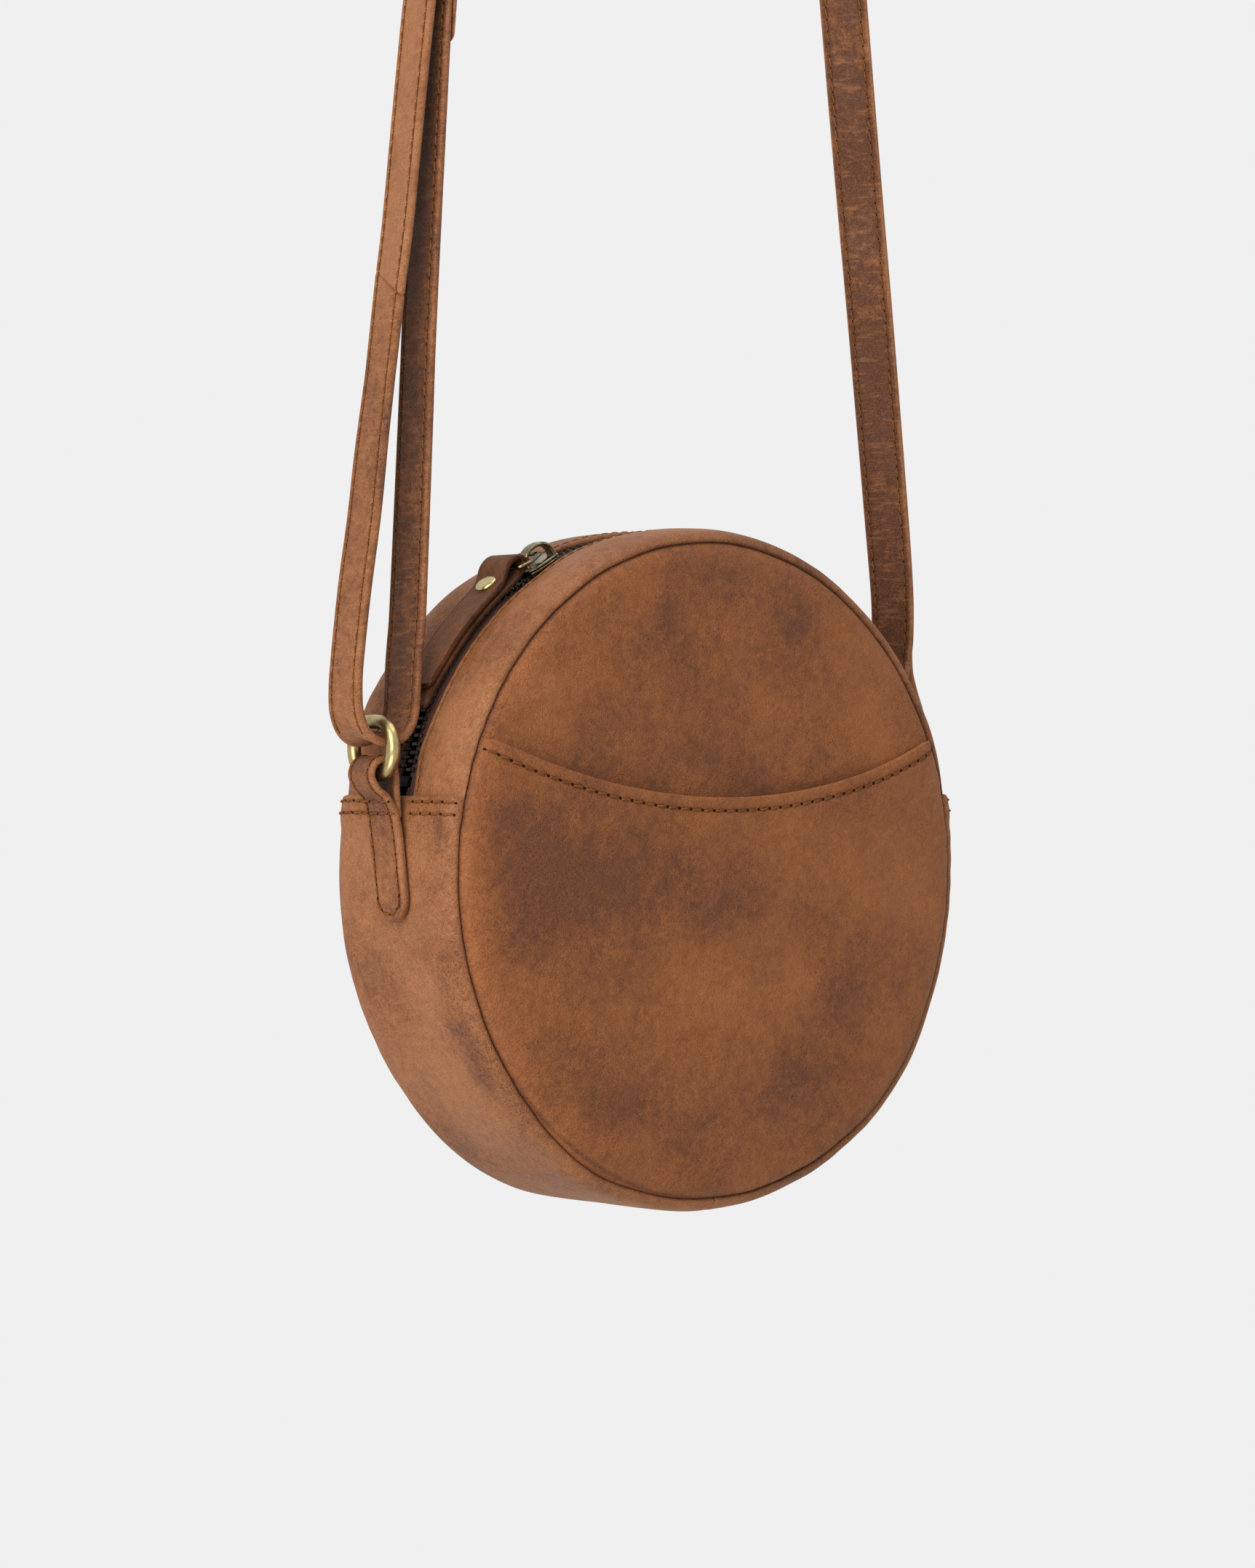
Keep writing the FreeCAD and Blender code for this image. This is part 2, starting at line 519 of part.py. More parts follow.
def make_top_gusset(label, sign):
    """One strip of the top gusset, between a panel seam and the zip."""
    body = new_body(label)
    profile = new_sketch(body, "YZ_Plane")
    corners = [
        (side(sign, "seam_half_depth"), "seam_radius"),
        (side(sign, "shoulder_depth"), "bag_radius"),
        (side(sign, "slot_half_width"), "bag_radius"),
        (side(sign, "slot_half_width"), "inner_radius"),
        (side(sign, "shoulder_depth"), "inner_radius"),
        (side(sign, "seam_inner_depth"), "seam_radius"),
    ]
    draw(profile, corners, {0: ("shoulder_radius", sign), 4: ("shoulder_inner_radius", -sign)})
    spin(body, profile, angle="top_angle", both_ways=True)


def make_zip_tape(label, sign):
    body = new_body(label)
    profile = new_sketch(body, "YZ_Plane")
    draw_box(profile, side(sign, "tape_side"), side(sign, "tape_far_side"), "tape_inner", "tape_outer")
    spin(body, profile, angle="top_angle", both_ways=True)


def make_zip_teeth(label, sign, turn):
    """One row of teeth, each a separate solid, stepped along the zip from its left end."""
    body = new_body(label, turn=turn)
    profile = new_sketch(body, "YZ_Plane")
    draw_box(profile, side(sign, "tooth_clear"), side(sign, "tooth_side"), "tooth_inner", "tooth_outer")
    tooth = pad(body, profile, "tooth_length")
    doc.recompute()
    row = body.newObject("PartDesign::PolarPattern", "PolarPattern")
    row.Originals = [tooth]
    row.Axis = (profile, ["H_Axis"])
    row.Mode = "Spacing"
    row.setExpression("Offset", cell("tooth_step"))
    row.setExpression("Occurrences", cell("tooth_count"))
    body.Tip = row


def make_zip_stops():
    """A stop across both tapes at each end of the zip."""
    body = new_body("zip_stops", turn="stop_turn")
    profile = new_sketch(body, "YZ_Plane")
    draw_box(profile, "-tooth_side", "tooth_side", "tooth_inner", "tooth_outer")
    stop = pad(body, profile, "stop_length")
    doc.recompute()
    pair = body.newObject("PartDesign::PolarPattern", "PolarPattern")
    pair.Originals = [stop]
    pair.Axis = (profile, ["H_Axis"])
    pair.Mode = "Spacing"
    pair.setExpression("Offset", cell("stop_spread"))
    pair.Occurrences = 2
    body.Tip = pair


def make_lining_panel(label, sign):
    body = new_body(label)
    profile = new_sketch(body, "YZ_Plane")
    draw_box(profile, side(sign, "lining_depth"), side(sign, "lining_inner_depth"), "0", "lining_panel_radius")
    spin(body, profile)


def make_lining_lower():
    body = new_body("lining_lower")
    profile = new_sketch(body, "YZ_Plane")
    draw_box(profile, "-shoulder_depth", "shoulder_depth", "-lining_outer", "-lining_inner")
    spin(body, profile, angle="lining_lower_spread", both_ways=True)


def make_lining_top(label, sign):
    body = new_body(label)
    profile = new_sketch(body, "YZ_Plane")
    near = side(sign, "lining_slot")
    far = side(sign, "shoulder_depth")
    draw_box(profile, near, far, "lining_top_inner", "lining_top_outer")
    spin(body, profile, angle="top_angle", both_ways=True)


def make_tab(label, sign):
    """Leather tab sewn to the gusset, folded over the lower bar of its ring."""
    body = new_body(label)
    strip = new_sketch(body, "XY_Plane")
    draw_box(strip, side(sign, "tab_in"), side(sign, "tab_out"), "-tab_side", "tab_side")
    angles = ("tab_low_angle", "tab_lift") if sign > 0 else ("tab_lift", "tab_low_angle")
    spin(body, strip, axis="V_Axis", angle=angles[0], second=angles[1])
    web = new_sketch(body, "XZ_Plane")
    corners = [
        (side(sign, "tab_root_in_x"), "tab_root_in_z"),
        (side(sign, "tab_root_out_x"), "tab_root_out_z"),
        (side(sign, "tab_outer_x"), "lower_bar_z"),
        (side(sign, "tab_inner_x"), "lower_bar_z"),
    ]
    draw(web, corners)
    pad(body, web, "tab_loop_width")
    loop = new_sketch(body, "XZ_Plane")
    draw_circle(loop, side(sign, "ring_out"), "lower_bar_z", "tab_eye_outer")
    pad(body, loop, "tab_loop_width")
    eye = new_sketch(body, "XZ_Plane")
    draw_circle(eye, side(sign, "ring_out"), "lower_bar_z", "tab_eye")
    cut_through(body, eye)


def make_ring(label, sign):
    """Oval ring of round wire, standing in the YZ plane of its own centre."""
    body = new_body(label, x=side(sign, "ring_out"), z="ring_row_z")
    path = new_sketch(body, "YZ_Plane")
    corners = [
        ("-ring_straight", "ring_end"),
        ("ring_straight", "ring_end"),
        ("ring_reach", "0"),
        ("ring_straight", "-ring_end"),
        ("-ring_straight", "-ring_end"),
        ("-ring_reach", "0"),
    ]
    bend = ("ring_end", -1)
    draw(path, corners, {1: bend, 2: bend, 4: bend, 5: bend})
    wire = new_sketch(body, "XZ_Plane")
    draw_circle(wire, "0", "ring_end", "wire_radius")
    sweep(body, wire, path)


def make_shoulder_strap():
    """Upper length of the strap: its crown, the right strand sewn round its ring, and the left strand."""
    body = new_body("shoulder_strap")
    section = new_sketch(body, "YZ_Plane", shift="crown_x")
    draw_box(section, "-strap_side", "strap_side", "hang_drop", "crown_top")
    left = new_sketch(body, "XZ_Plane")
    corners = [("crown_x", "crown_height"), ("crown_left_x", "crown_left_z"), ("splice_gap_x", "splice_gap_z")]
    draw(left, corners, {0: ("crown_radius", 1)}, closed=False)
    sweep(body, section, left)
    right = new_sketch(body, "XZ_Plane")
    corners = [("crown_x", "crown_height"), ("crown_right_x", "crown_right_z"), ("right_end_x", "right_end_z")]
    draw(right, corners, {0: ("crown_radius", -1)}, closed=False)
    sweep(body, section, right)
    loop = new_sketch(body, "XZ_Plane")
    draw_circle(loop, "ring_out", "upper_bar_z", "strap_eye_outer")
    pad(body, loop, "strap_width")
    doubled = new_sketch(body, "XZ_Plane")
    corners = [
        ("right_end_x", "right_end_z"),
        ("sewn_low_x", "sewn_low_z"),
        ("sewn_high_x", "sewn_high_z"),
        ("sewn_mid_x", "sewn_mid_z"),
    ]
    draw(doubled, corners)
    pad(body, doubled, "strap_width")
    eye = new_sketch(body, "XZ_Plane")
    draw_circle(eye, "ring_out", "upper_bar_z", "strap_eye")
    cut_through(body, eye)


def make_strap_lower():
    """Lower length of the strap: down from the splice, round under the left ring's bar and up inside."""
    body = new_body("strap_lower")
    section = new_sketch(body, "YZ_Plane", shift="ring_left_x")
    draw_box(section, "-strap_side", "strap_side", "loop_under", "loop_over")
    outer = new_sketch(body, "XZ_Plane")
    corners = [("ring_left_x", "loop_low"), ("loop_left_x", "loop_left_z"), ("splice_x", "splice_height")]
    draw(outer, corners, {0: ("loop_radius", -1)}, closed=False)
    sweep(body, section, outer)
    inner = new_sketch(body, "XZ_Plane")
    corners = [("ring_left_x", "loop_low"), ("loop_right_x", "loop_right_z"), ("tail_x", "tail_z")]
    draw(inner, corners, {0: ("loop_radius", 1)}, closed=False)
    sweep(body, section, inner)


def make_strap_tail():
    """Free length of the inner strand, up to its end round the buckle's bar."""
    body = new_body("strap_tail", x="tail_x", z="tail_row_z", turn="tail_lean")
    strip = new_sketch(body, "XZ_Plane")
    draw_box(strip, "-strap_half", "strap_half", "sewn_gap", "tail_end")
    pad(body, strip, "strap_width")
    loop = new_sketch(body, "XZ_Plane")
    draw_circle(loop, "0", "tail_length", "bar_eye_outer")
    pad(body, loop, "strap_width")
    eye = new_sketch(body, "XZ_Plane")
    draw_circle(eye, "0", "tail_length", "bar_eye")
    cut_through(body, eye)


def make_buckle_frame():
    """Flat window on the outer face of the strap, with two ears that carry the cross bar."""
    body = new_body("strap_buckle_frame", x="buckle_x", z="buckle_row_z", turn="left_lean")
    window = new_sketch(body, "YZ_Plane", shift="buckle_back")
    draw_box(window, "-buckle_outer", "buckle_outer", "-buckle_half", "buckle_half")
    draw_box(window, "-strap_side", "strap_side", "-buckle_window", "buckle_window")
    pad_between(body, window, "buckle_back", "buckle_face")
    for sign in (-1, 1):
        ear = new_sketch(body, "YZ_Plane", shift="buckle_back")
        inner, outer = side(sign, "buckle_inner"), side(sign, "buckle_outer")
        draw_box(ear, inner, outer, "-buckle_ear_half", "buckle_ear_half")
        pad_between(body, ear, "buckle_back", "buckle_ear_tip")


def make_buckle_bar():
    body = new_body("strap_buckle_bar", x="bar_x", z="bar_row_z")
    section = new_sketch(body, "XZ_Plane")
    draw_circle(section, "0", "0", "buckle_bar_radius")
    pad(body, section, "buckle_bar_length")


def make_zip_slider():
    """Zip slider: two plates with rolled edges on a post, and the eye on top, drawn at the top of the bag."""
    body = new_body("zip_slider_body", turn="slider_turn")
    profile = new_sketch(body, "YZ_Plane")
    half = [
        ("slider_side", "plate_top"),
        ("slider_side", "flange_low"),
        ("flange_side", "flange_low"),
        ("flange_side", "plate_low"),
        ("slider_post_side", "plate_low"),
        ("slider_post_side", "sole_top"),
        ("flange_side", "sole_top"),
        ("flange_side", "flange_high"),
        ("slider_side", "flange_high"),
        ("slider_side", "sole_low"),
    ]
    draw(profile, half + [("-" + across, up) for across, up in reversed(half)])
    spin(body, profile, angle="slider_angle", both_ways=True)
    neck = new_sketch(body, "XZ_Plane")
    draw_box(neck, "-lug_radius", "lug_radius", "lug_root", "pull_radius")
    pad(body, neck, "lug_width")
    lug = new_sketch(body, "XZ_Plane")
    draw_circle(lug, "0", "pull_radius", "lug_radius")
    pad(body, lug, "lug_width")
    eye = new_sketch(body, "XZ_Plane")
    draw_circle(eye, "0", "pull_radius", "link_bore")
    cut_through(body, eye)


def make_pull_link():
    """Wire frame between the slider's eye and the puller, drawn flat from the eye towards -X."""
    body = new_body("pull_link", x="link_x", z="link_z", turn="link_turn")
    outline = new_sketch(body, "XY_Plane")
    far_out = "link_far_outer"
    outer = [("link_half", "link_near_outer"), ("link_shank_x", far_out), ("link_far_edge", far_out)]
    far_in = "link_far_inner"
    inner = [("-link_half", "link_near_inner"), ("link_shank_x", far_in), ("link_far_eye", far_in)]
    for half in (outer, inner):
        draw(outline, half + [(along, "-" + across) for along, across in reversed(half)])
    pad(body, outline, "link_wire")


def make_puller():
    """Leather strip folded over the link's far bar into two layers that follow the bag's curve."""
    body = new_body("puller_leather", turn="puller_turn")
    under = new_sketch(body, "YZ_Plane")
    draw_box(under, "-puller_side", "puller_side", "puller_low", "puller_under_top")
    spin(body, under, angle="rivet_angle", second="under_angle")
    fold = new_sketch(body, "XZ_Plane")
    draw_circle(fold, "fold_x", "fold_z", "fold_radius")
    pad(body, fold, "puller_width")
    over = new_sketch(body, "YZ_Plane")
    draw_box(over, "-puller_side", "puller_side", "puller_over_low", "puller_top")
    spin(body, over, angle="rivet_angle", second="over_angle")
    eye = new_sketch(body, "XZ_Plane")
    draw_circle(eye, "fold_x", "fold_z", "link_bore")
    cut_through(body, eye)
    hole = new_sketch(body, "XY_Plane")
    draw_circle(hole, "0", "0", "rivet_hole")
    cut_through(body, hole)


def make_rivet():
    """Domed rivet through both layers of the puller."""
    body = new_body("puller_rivet", turn="puller_turn")
    profile = new_sketch(body, "XZ_Plane")
    corners = [
        ("0", "rivet_base_low"),
        ("rivet_base_radius", "rivet_base_low"),
        ("rivet_base_radius", "rivet_base_top"),
        ("rivet_shank", "rivet_base_top"),
        ("rivet_shank", "rivet_cap_low"),
        ("rivet_cap_radius", "rivet_cap_low"),
        ("rivet_cap_radius", "rivet_cap_rim"),
        ("0", "rivet_cap_top"),
    ]
    draw(profile, corners, {6: ("rivet_arc", 1)})
    spin(body, profile, axis="V_Axis")


def check_and_write():
    """Stop if any object failed or any piece is not a sound solid, then write one file for each piece."""
    doc.recompute()
    failed = [item.Name for item in doc.Objects if "Invalid" in item.State or "Error" in item.State]
    if failed:
        raise RuntimeError(f"failed to rebuild: {failed}")
    for body in parts:
        if body.Shape.isNull() or not body.Shape.isValid() or not body.Shape.Solids:
            raise RuntimeError(f"not a sound solid: {body.Label}")
    os.makedirs("parts", exist_ok=True)
    for body in parts:
        body.Shape.exportStep(f"parts/{body.Label}.step")


def main():
    fill_sheets()
    make_front_panel()
    make_front_pocket()
    make_back_panel()
    make_lower_gusset("gusset_lower_left", backwards=False)
    make_lower_gusset("gusset_lower_right", backwards=True)
    make_top_gusset("gusset_top_front", -1)
    make_top_gusset("gusset_top_back", 1)
    make_zip_tape("zip_tape_front", -1)
    make_zip_tape("zip_tape_back", 1)
    make_zip_teeth("zip_teeth_front", -1, "chain_turn_front")
    make_zip_teeth("zip_teeth_back", 1, "chain_turn_back")
    make_zip_stops()
    make_lining_panel("lining_front", -1)
    make_lining_panel("lining_back", 1)
    make_lining_lower()
    make_lining_top("lining_top_front", -1)
    make_lining_top("lining_top_back", 1)
    make_tab("tab_left", -1)
    make_tab("tab_right", 1)
    make_ring("ring_left", -1)
    make_ring("ring_right", 1)
    make_shoulder_strap()
    make_strap_lower()
    make_strap_tail()
    make_buckle_frame()
    make_buckle_bar()
    make_zip_slider()
    make_pull_link()
    make_puller()
    make_rivet()
    check_and_write()


main()
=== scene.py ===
"""Looks of the circle bag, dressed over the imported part.

Lengths are millimetres in the bag's own frame. Its origin is the bag's centre. +X is to the right as the bag
is seen from the front, -Y is the front and +Z is up. row_frame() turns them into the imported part's metres.
A turn is in degrees, from the bag's top towards its left.
"""

import math

import bmesh
import bpy
import numpy as np
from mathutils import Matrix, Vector


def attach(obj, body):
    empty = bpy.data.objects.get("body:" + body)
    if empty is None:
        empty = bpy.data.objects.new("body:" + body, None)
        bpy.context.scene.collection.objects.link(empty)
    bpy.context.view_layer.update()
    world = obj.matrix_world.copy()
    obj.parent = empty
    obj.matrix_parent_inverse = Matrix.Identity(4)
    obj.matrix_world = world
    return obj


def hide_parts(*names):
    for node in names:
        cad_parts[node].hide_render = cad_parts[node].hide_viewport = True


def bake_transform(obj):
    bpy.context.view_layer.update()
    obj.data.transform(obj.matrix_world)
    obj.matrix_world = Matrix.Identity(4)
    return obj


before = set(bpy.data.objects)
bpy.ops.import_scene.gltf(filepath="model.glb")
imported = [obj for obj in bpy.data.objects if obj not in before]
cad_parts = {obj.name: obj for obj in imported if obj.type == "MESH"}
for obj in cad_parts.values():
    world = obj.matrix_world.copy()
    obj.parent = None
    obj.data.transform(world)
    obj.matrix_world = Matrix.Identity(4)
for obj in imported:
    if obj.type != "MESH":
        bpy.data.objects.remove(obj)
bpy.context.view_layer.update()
scene = bpy.context.scene

# Main sizes, as in the part.
HANG = 354.0
ROUND_RADIUS = 100.0
SEAM_RADIUS = 95.75
HEM_ANGLE = 102.885
TOP_ANGLE = 77.06
MOUTH_CENTRE = 242.4
MOUTH_RADIUS = 222.0
CHAIN_RADIUS = 97.6
SLIDER_TURN = 27.0
RING_X = 105.3
RING_Z = 35.3
STRAP_WIDE = 7.5
STRAP_HALF = 1.3
LEFT_LEAN = math.radians(7.9)
RIGHT_LEAN = math.radians(7.3)
CROWN_CENTRE = (-4.177, 276.392)
CROWN_RADIUS = 78.908
BUCKLE = (-85.291, 265.941)
BAR = (-80.437, 265.268)
DEPTHWAYS = np.array([0.0, 1.0, 0.0])
SIDES = (("left", -1), ("right", 1))
FACES = (("front", -1), ("back", 1))


def row_frame(points):
    return (np.asarray(points, float) - (0.0, 0.0, HANG)) / 1000.0


# Curves and surfaces


def smoothstep(value, start, end):
    t = np.clip((value - start) / (end - start), 0.0, 1.0)
    return t * t * (3.0 - 2.0 * t)


def fade(value, start, end):
    """1 before start, 0 past end."""
    return 1.0 - smoothstep(value, start, end)


def bell(value, centre, width):
    return np.exp(-(((value - centre) / width) ** 2))


def round_over(share, least=0.0):
    """A quarter circle that rises to 1 as share goes from 0 to 1; its square is never under least."""
    return np.sqrt(np.clip(1.0 - (1.0 - np.clip(share, 0.0, 1.0)) ** 2, least, 1.0))


def circle(count):
    return np.linspace(0.0, 2 * math.pi, count, endpoint=False)


def ring_about(first, second, turn):
    """A circle in the plane of two directions, for each pair of them."""
    return np.cos(turn)[:, None] * first[..., None, :] + np.sin(turn)[:, None] * second[..., None, :]


def boxy(count, wide_power, high_power):
    """Width and height round a box with soft corners; a lower power is squarer."""
    turn = circle(count)
    wide = np.sign(np.cos(turn)) * np.abs(np.cos(turn)) ** wide_power
    high = np.sign(np.sin(turn)) * np.abs(np.sin(turn)) ** high_power
    return wide, high


def points_at(x, y, z):
    return np.stack(np.broadcast_arrays(x, y, z), axis=-1)


def polar(turn, radius, depth=0.0):
    """Points round the bag's centre, at a turn and a radius."""
    angle = np.radians(turn)
    return points_at(-radius * np.sin(angle), depth, radius * np.cos(angle))


def unit(vectors):
    return vectors / np.linalg.norm(vectors, axis=-1, keepdims=True)


def lengths(line):
    """How far along the line each of its points is."""
    return np.concatenate([[0.0], np.cumsum(np.linalg.norm(np.diff(line, axis=0), axis=1))])


def at_length(table, along, place):
    """Rows of a table read at places along its line."""
    return np.stack([np.interp(place, along, column) for column in table.T], axis=-1)


def spread_evenly(line, count, loop=False):
    """The same line with count points at equal steps."""
    along = lengths(line)
    return at_length(line, along, np.linspace(0.0, along[-1], count, endpoint=not loop))


def smooth_line(points, count, loop=False):
    """A smooth line through the points, with count points at equal steps."""
    points = np.asarray(points, float)
    if loop:
        padded = np.vstack([points[-1:], points, points[:2]])
    else:
        padded = np.vstack([2 * points[0] - points[1], points, 2 * points[-1] - points[-2]])
    t = np.linspace(0.0, 1.0, 24, endpoint=False)[:, None]
    runs = []
    for a, b, c, d in zip(padded, padded[1:], padded[2:], padded[3:]):
        runs.append(b + 0.5 * t * (c - a + t * (2 * a - 5 * b + 4 * c - d + t * (3 * (b - c) + d - a))))
    runs.append(points[:1] if loop else points[-1:])
    return spread_evenly(np.vstack(runs), count, loop)


def rounded_path(corners, radii, count):
    """A closed path with straight runs and rounded corners."""
    corners = np.asarray(corners, float)
    radii = np.broadcast_to(radii, len(corners))
    t = np.linspace(0.0, 1.0, 9)[:, None]
    runs = []
    for before, corner, after, radius in zip(np.roll(corners, 1, 0), corners, np.roll(corners, -1, 0), radii):
        back = before - corner
        ahead = after - corner
        reach = min(radius, 0.48 * np.linalg.norm(back), 0.48 * np.linalg.norm(ahead))
        start = corner + unit(back) * reach
        end = corner + unit(ahead) * reach
        runs.append((1 - t) ** 2 * start + 2 * t * (1 - t) * corner + t ** 2 * end)
    runs.append(runs[0][:1])
    return spread_evenly(np.vstack(runs), count, loop=True)


def rounded_section(half_width, half_height, groove=0.0, groove_at=0.0):
    """A flat strip's closed section: plain faces, full rounded sides and a groove under each stitch row."""
    turn = np.linspace(-math.pi / 2, math.pi / 2, 11)
    straight = half_width - half_height
    flat = np.linspace(straight, -straight, 31)[1:-1]
    top = half_height - groove * (bell(flat, groove_at, 0.55) + bell(flat, -groove_at, 0.55))
    side = np.stack([straight + half_height * np.cos(turn), half_height * np.sin(turn)], axis=-1)
    face = np.stack([flat, top], axis=-1)
    return np.vstack([side, face, -side, -face])


def frames_along(path, width_hint):
    """Directions along, across and out of a path; width_hint is about the way across."""
    ahead = unit(np.gradient(path, axis=0))
    across = unit(width_hint - (width_hint * ahead).sum(1)[:, None] * ahead)
    return ahead, across, np.cross(ahead, across)


def sweep(path, across, out, section, widths=1.0, heights=1.0):
    """A grid with the section (across, out) set along the path."""
    widths = np.broadcast_to(widths, len(path))[:, None, None]
    heights = np.broadcast_to(heights, len(path))[:, None, None]
    sides = section[:, :1] * widths * across[:, None, :]
    rises = section[:, 1:] * heights * out[:, None, :]
    return path[:, None, :] + sides + rises


def tube(path, radius, sides):
    """A round wire along a closed path."""
    ahead = unit(np.roll(path, -1, 0) - np.roll(path, 1, 0))
    steep = abs(ahead[:, 2]).max() >= 0.9
    hint = unit(np.cross(ahead[0], ahead[len(path) // 5])) if steep else np.array([0.0, 0.0, 1.0])
    first = unit(np.cross(ahead, hint))
    return path[:, None, :] + radius * ring_about(first, np.cross(ahead, first), circle(sides))


def ripple(points, seed, wavelength):
    """Soft waves from about -1 to 1, the same each run."""
    chance = np.random.default_rng(seed)
    total = np.zeros(len(points))
    for _ in range(6):
        direction = chance.normal(size=3)
        direction *= 2 * math.pi / (wavelength * chance.uniform(0.7, 1.6) * np.linalg.norm(direction))
        total += np.sin(points @ direction + chance.uniform(0, 2 * math.pi))
    return total / 3.0


def settle(points):
    """The small waves and slack of the sewn leather, even at the seams and none beside the zip."""
    shape = points.shape
    points = points.reshape(-1, 3).copy()
    radius = np.hypot(points[:, 0], points[:, 2])
    angle = np.arctan2(points[:, 2], points[:, 0])
    turn = np.degrees(np.arctan2(-points[:, 0], points[:, 2]))
    away = smoothstep(np.abs(points[:, 1]), 8.0, 17.0)
    low = smoothstep(-points[:, 2], -24.0, 10.0)
    swell = 0.22 * ripple(points, 3, 75.0) + 0.16 * ripple(points, 4, 24.0)
    swell += 1.9 * bell(angle, -0.74, 0.32) + 1.5 * bell(angle, -2.1, 0.27)
    pulled = 2.6 * bell(turn, 62.0, 12.0) + 1.4 * bell(turn, 38.0, 12.0)
    swell += pulled * smoothstep(points[:, 1], 9.0, 20.0)
    share = np.maximum(away, low) * swell * smoothstep(radius, 40.0, 95.0) / np.maximum(radius, 1.0)
    points[:, 0] *= 1.0 + share
    points[:, 2] *= 1.0 + share
    slack = 0.45 * ripple(points, 5, 60.0) * fade(radius, 82.0, 95.0)
    waves = np.sin(angle * 61 + 3 * np.sin(angle * 7)) * (0.6 + 0.4 * np.sin(angle * 5 + 1))
    pucker = 0.13 * waves * bell(radius, 96.2, 3.2)
    points[:, 1] += np.sign(points[:, 1]) * away * (slack + pucker)
    return points.reshape(shape)


# Pieces and stitches


def grid_faces(rows, columns, loop_rows, loop_columns):
    r, c = np.meshgrid(
        np.arange(rows if loop_rows else rows - 1),
        np.arange(columns if loop_columns else columns - 1),
        indexing="ij",
    )
    r2 = (r + 1) % rows
    c2 = (c + 1) % columns
    corners = [r * columns + c, r * columns + c2, r2 * columns + c2, r2 * columns + c]
    return np.stack(corners, axis=-1).reshape(-1, 4).tolist()


class Shape:
    """Points and faces of one piece, gathered before its mesh is made."""

    def __init__(self, grid=None, **how):
        self.blocks = []
        self.edges = []
        self.tones = []
        self.faces = []
        self.count = 0
        if grid is not None:
            self.add_grid(grid, **how)

    def add(self, points, faces, edge=0.0, tone=0.0):
        self.faces += [[self.count + k for k in face] for face in faces]
        self.blocks.append(points)
        self.edges.append(np.broadcast_to(edge, len(points)))
        self.tones.append(np.broadcast_to(tone, len(points)))
        self.count += len(points)

    def add_grid(self, grid, loop_rows=False, loop_columns=True, caps=True, edge=0.0, tone=0.0):
        rows, columns = grid.shape[:2]
        faces = grid_faces(rows, columns, loop_rows, loop_columns)
        if caps:
            last = (rows - 1) * columns
            faces.append(list(range(columns))[::-1])
            faces.append(list(range(last, last + columns)))
        edge, tone = (np.broadcast_to(value, (rows, columns)).reshape(-1) for value in (edge, tone))
        self.add(grid.reshape(-1, 3), faces, edge, tone)


WIRE = {"loop_rows": True, "caps": False}


def make_piece(name, shape, body, material, slot, node=None, tone=None, rides=True):
    points = np.vstack(shape.blocks)
    mesh = bpy.data.meshes.new(name)
    mesh.from_pydata(row_frame(points).tolist(), [], shape.faces)
    work = bmesh.new()
    work.from_mesh(mesh)
    bmesh.ops.recalc_face_normals(work, faces=work.faces)
    work.to_mesh(mesh)
    work.free()
    mesh.shade_smooth()
    mesh.materials.append(material)
    tones = np.concatenate(shape.tones)
    if tone:
        tones = tones + tone(points)
    for label, values in (("tone", tones), ("edge", np.concatenate(shape.edges))):
        mesh.attributes.new(label, "FLOAT", "POINT").data.foreach_set("value", values.astype(np.float32))
    piece = bpy.data.objects.new(name, mesh)
    scene.collection.objects.link(piece)
    if rides:
        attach(piece, body)
    if node:
        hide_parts(node)
    return piece


STITCH_TURN = circle(8)
STITCH_RUN = np.linspace(-0.5, 0.5, 9)
STITCH_BOW = np.sqrt(np.clip(1.0 - (2 * STITCH_RUN) ** 2, 0.0, 1.0))
STITCH_TAPER = 0.45 + 0.55 * np.clip(STITCH_BOW * 1.6, 0.0, 1.0)
STITCH_PLY = 0.86 + 0.2 * np.cos(2 * (STITCH_TURN - 7.0 * STITCH_RUN[:, None]))
STITCH_LEAN = 0.1
HOLE_FAN = [[k, (k + 1) % 8, 8] for k in range(8)]


class Stitches:
    """Sewn rows on one piece: their thread, and a dark disc of painted shade where it comes out of each hole.
    """

    def __init__(self):
        self.thread = Shape()
        self.hole_shades = Shape()

    def row(self, line, normals, pitch, radius, hole, share=0.86):
        """A row along a line on a surface; share is how much of the pitch the thread takes up."""
        along = lengths(line)
        count = max(1, int(round(along[-1] / pitch)))
        pitch = along[-1] / count
        chance = np.random.default_rng(count)
        for place in pitch * np.arange(count + 1):
            point = at_length(line, along, place)
            normal = unit(at_length(normals, along, place))
            before = at_length(line, along, max(place - 0.4, 0.0))
            ahead = unit(at_length(line, along, min(place + 0.4, along[-1])) - before)
            # A flat dark disc at each hole, hole wide, stands in for the shade inside it: painted shade.
            disc = ring_about(1.15 * hole * ahead, hole * np.cross(normal, ahead), STITCH_TURN)
            self.hole_shades.add(np.vstack([point + disc + 0.05 * normal, point + 0.03 * normal]), HOLE_FAN)
        for middle in pitch * (np.arange(count) + 0.5):
            spots = middle + STITCH_RUN * pitch * share
            base = at_length(line, along, spots)
            normal = unit(at_length(normals, along, spots))
            side = np.cross(normal, unit(np.gradient(base, axis=0)))
            slant = STITCH_LEAN * pitch * STITCH_RUN * chance.uniform(0.7, 1.3)
            base = base + side * slant[:, None] + normal * (radius * (1.25 * STITCH_BOW - 0.55))[:, None]
            size = radius * STITCH_TAPER[:, None] * STITCH_PLY
            self.thread.add_grid(base[:, None, :] + size[:, :, None] * ring_about(side, normal, STITCH_TURN))

    def make(self, name, body="bag", rides=True):
        thread = make_piece("thread_" + name, self.thread, body, THREAD, "bag_leather", rides=rides)
        hole_shades = make_piece("hole_shades_" + name, self.hole_shades, body, HOLE_SHADE, "bag_leather", rides=rides)
        return thread, hole_shades


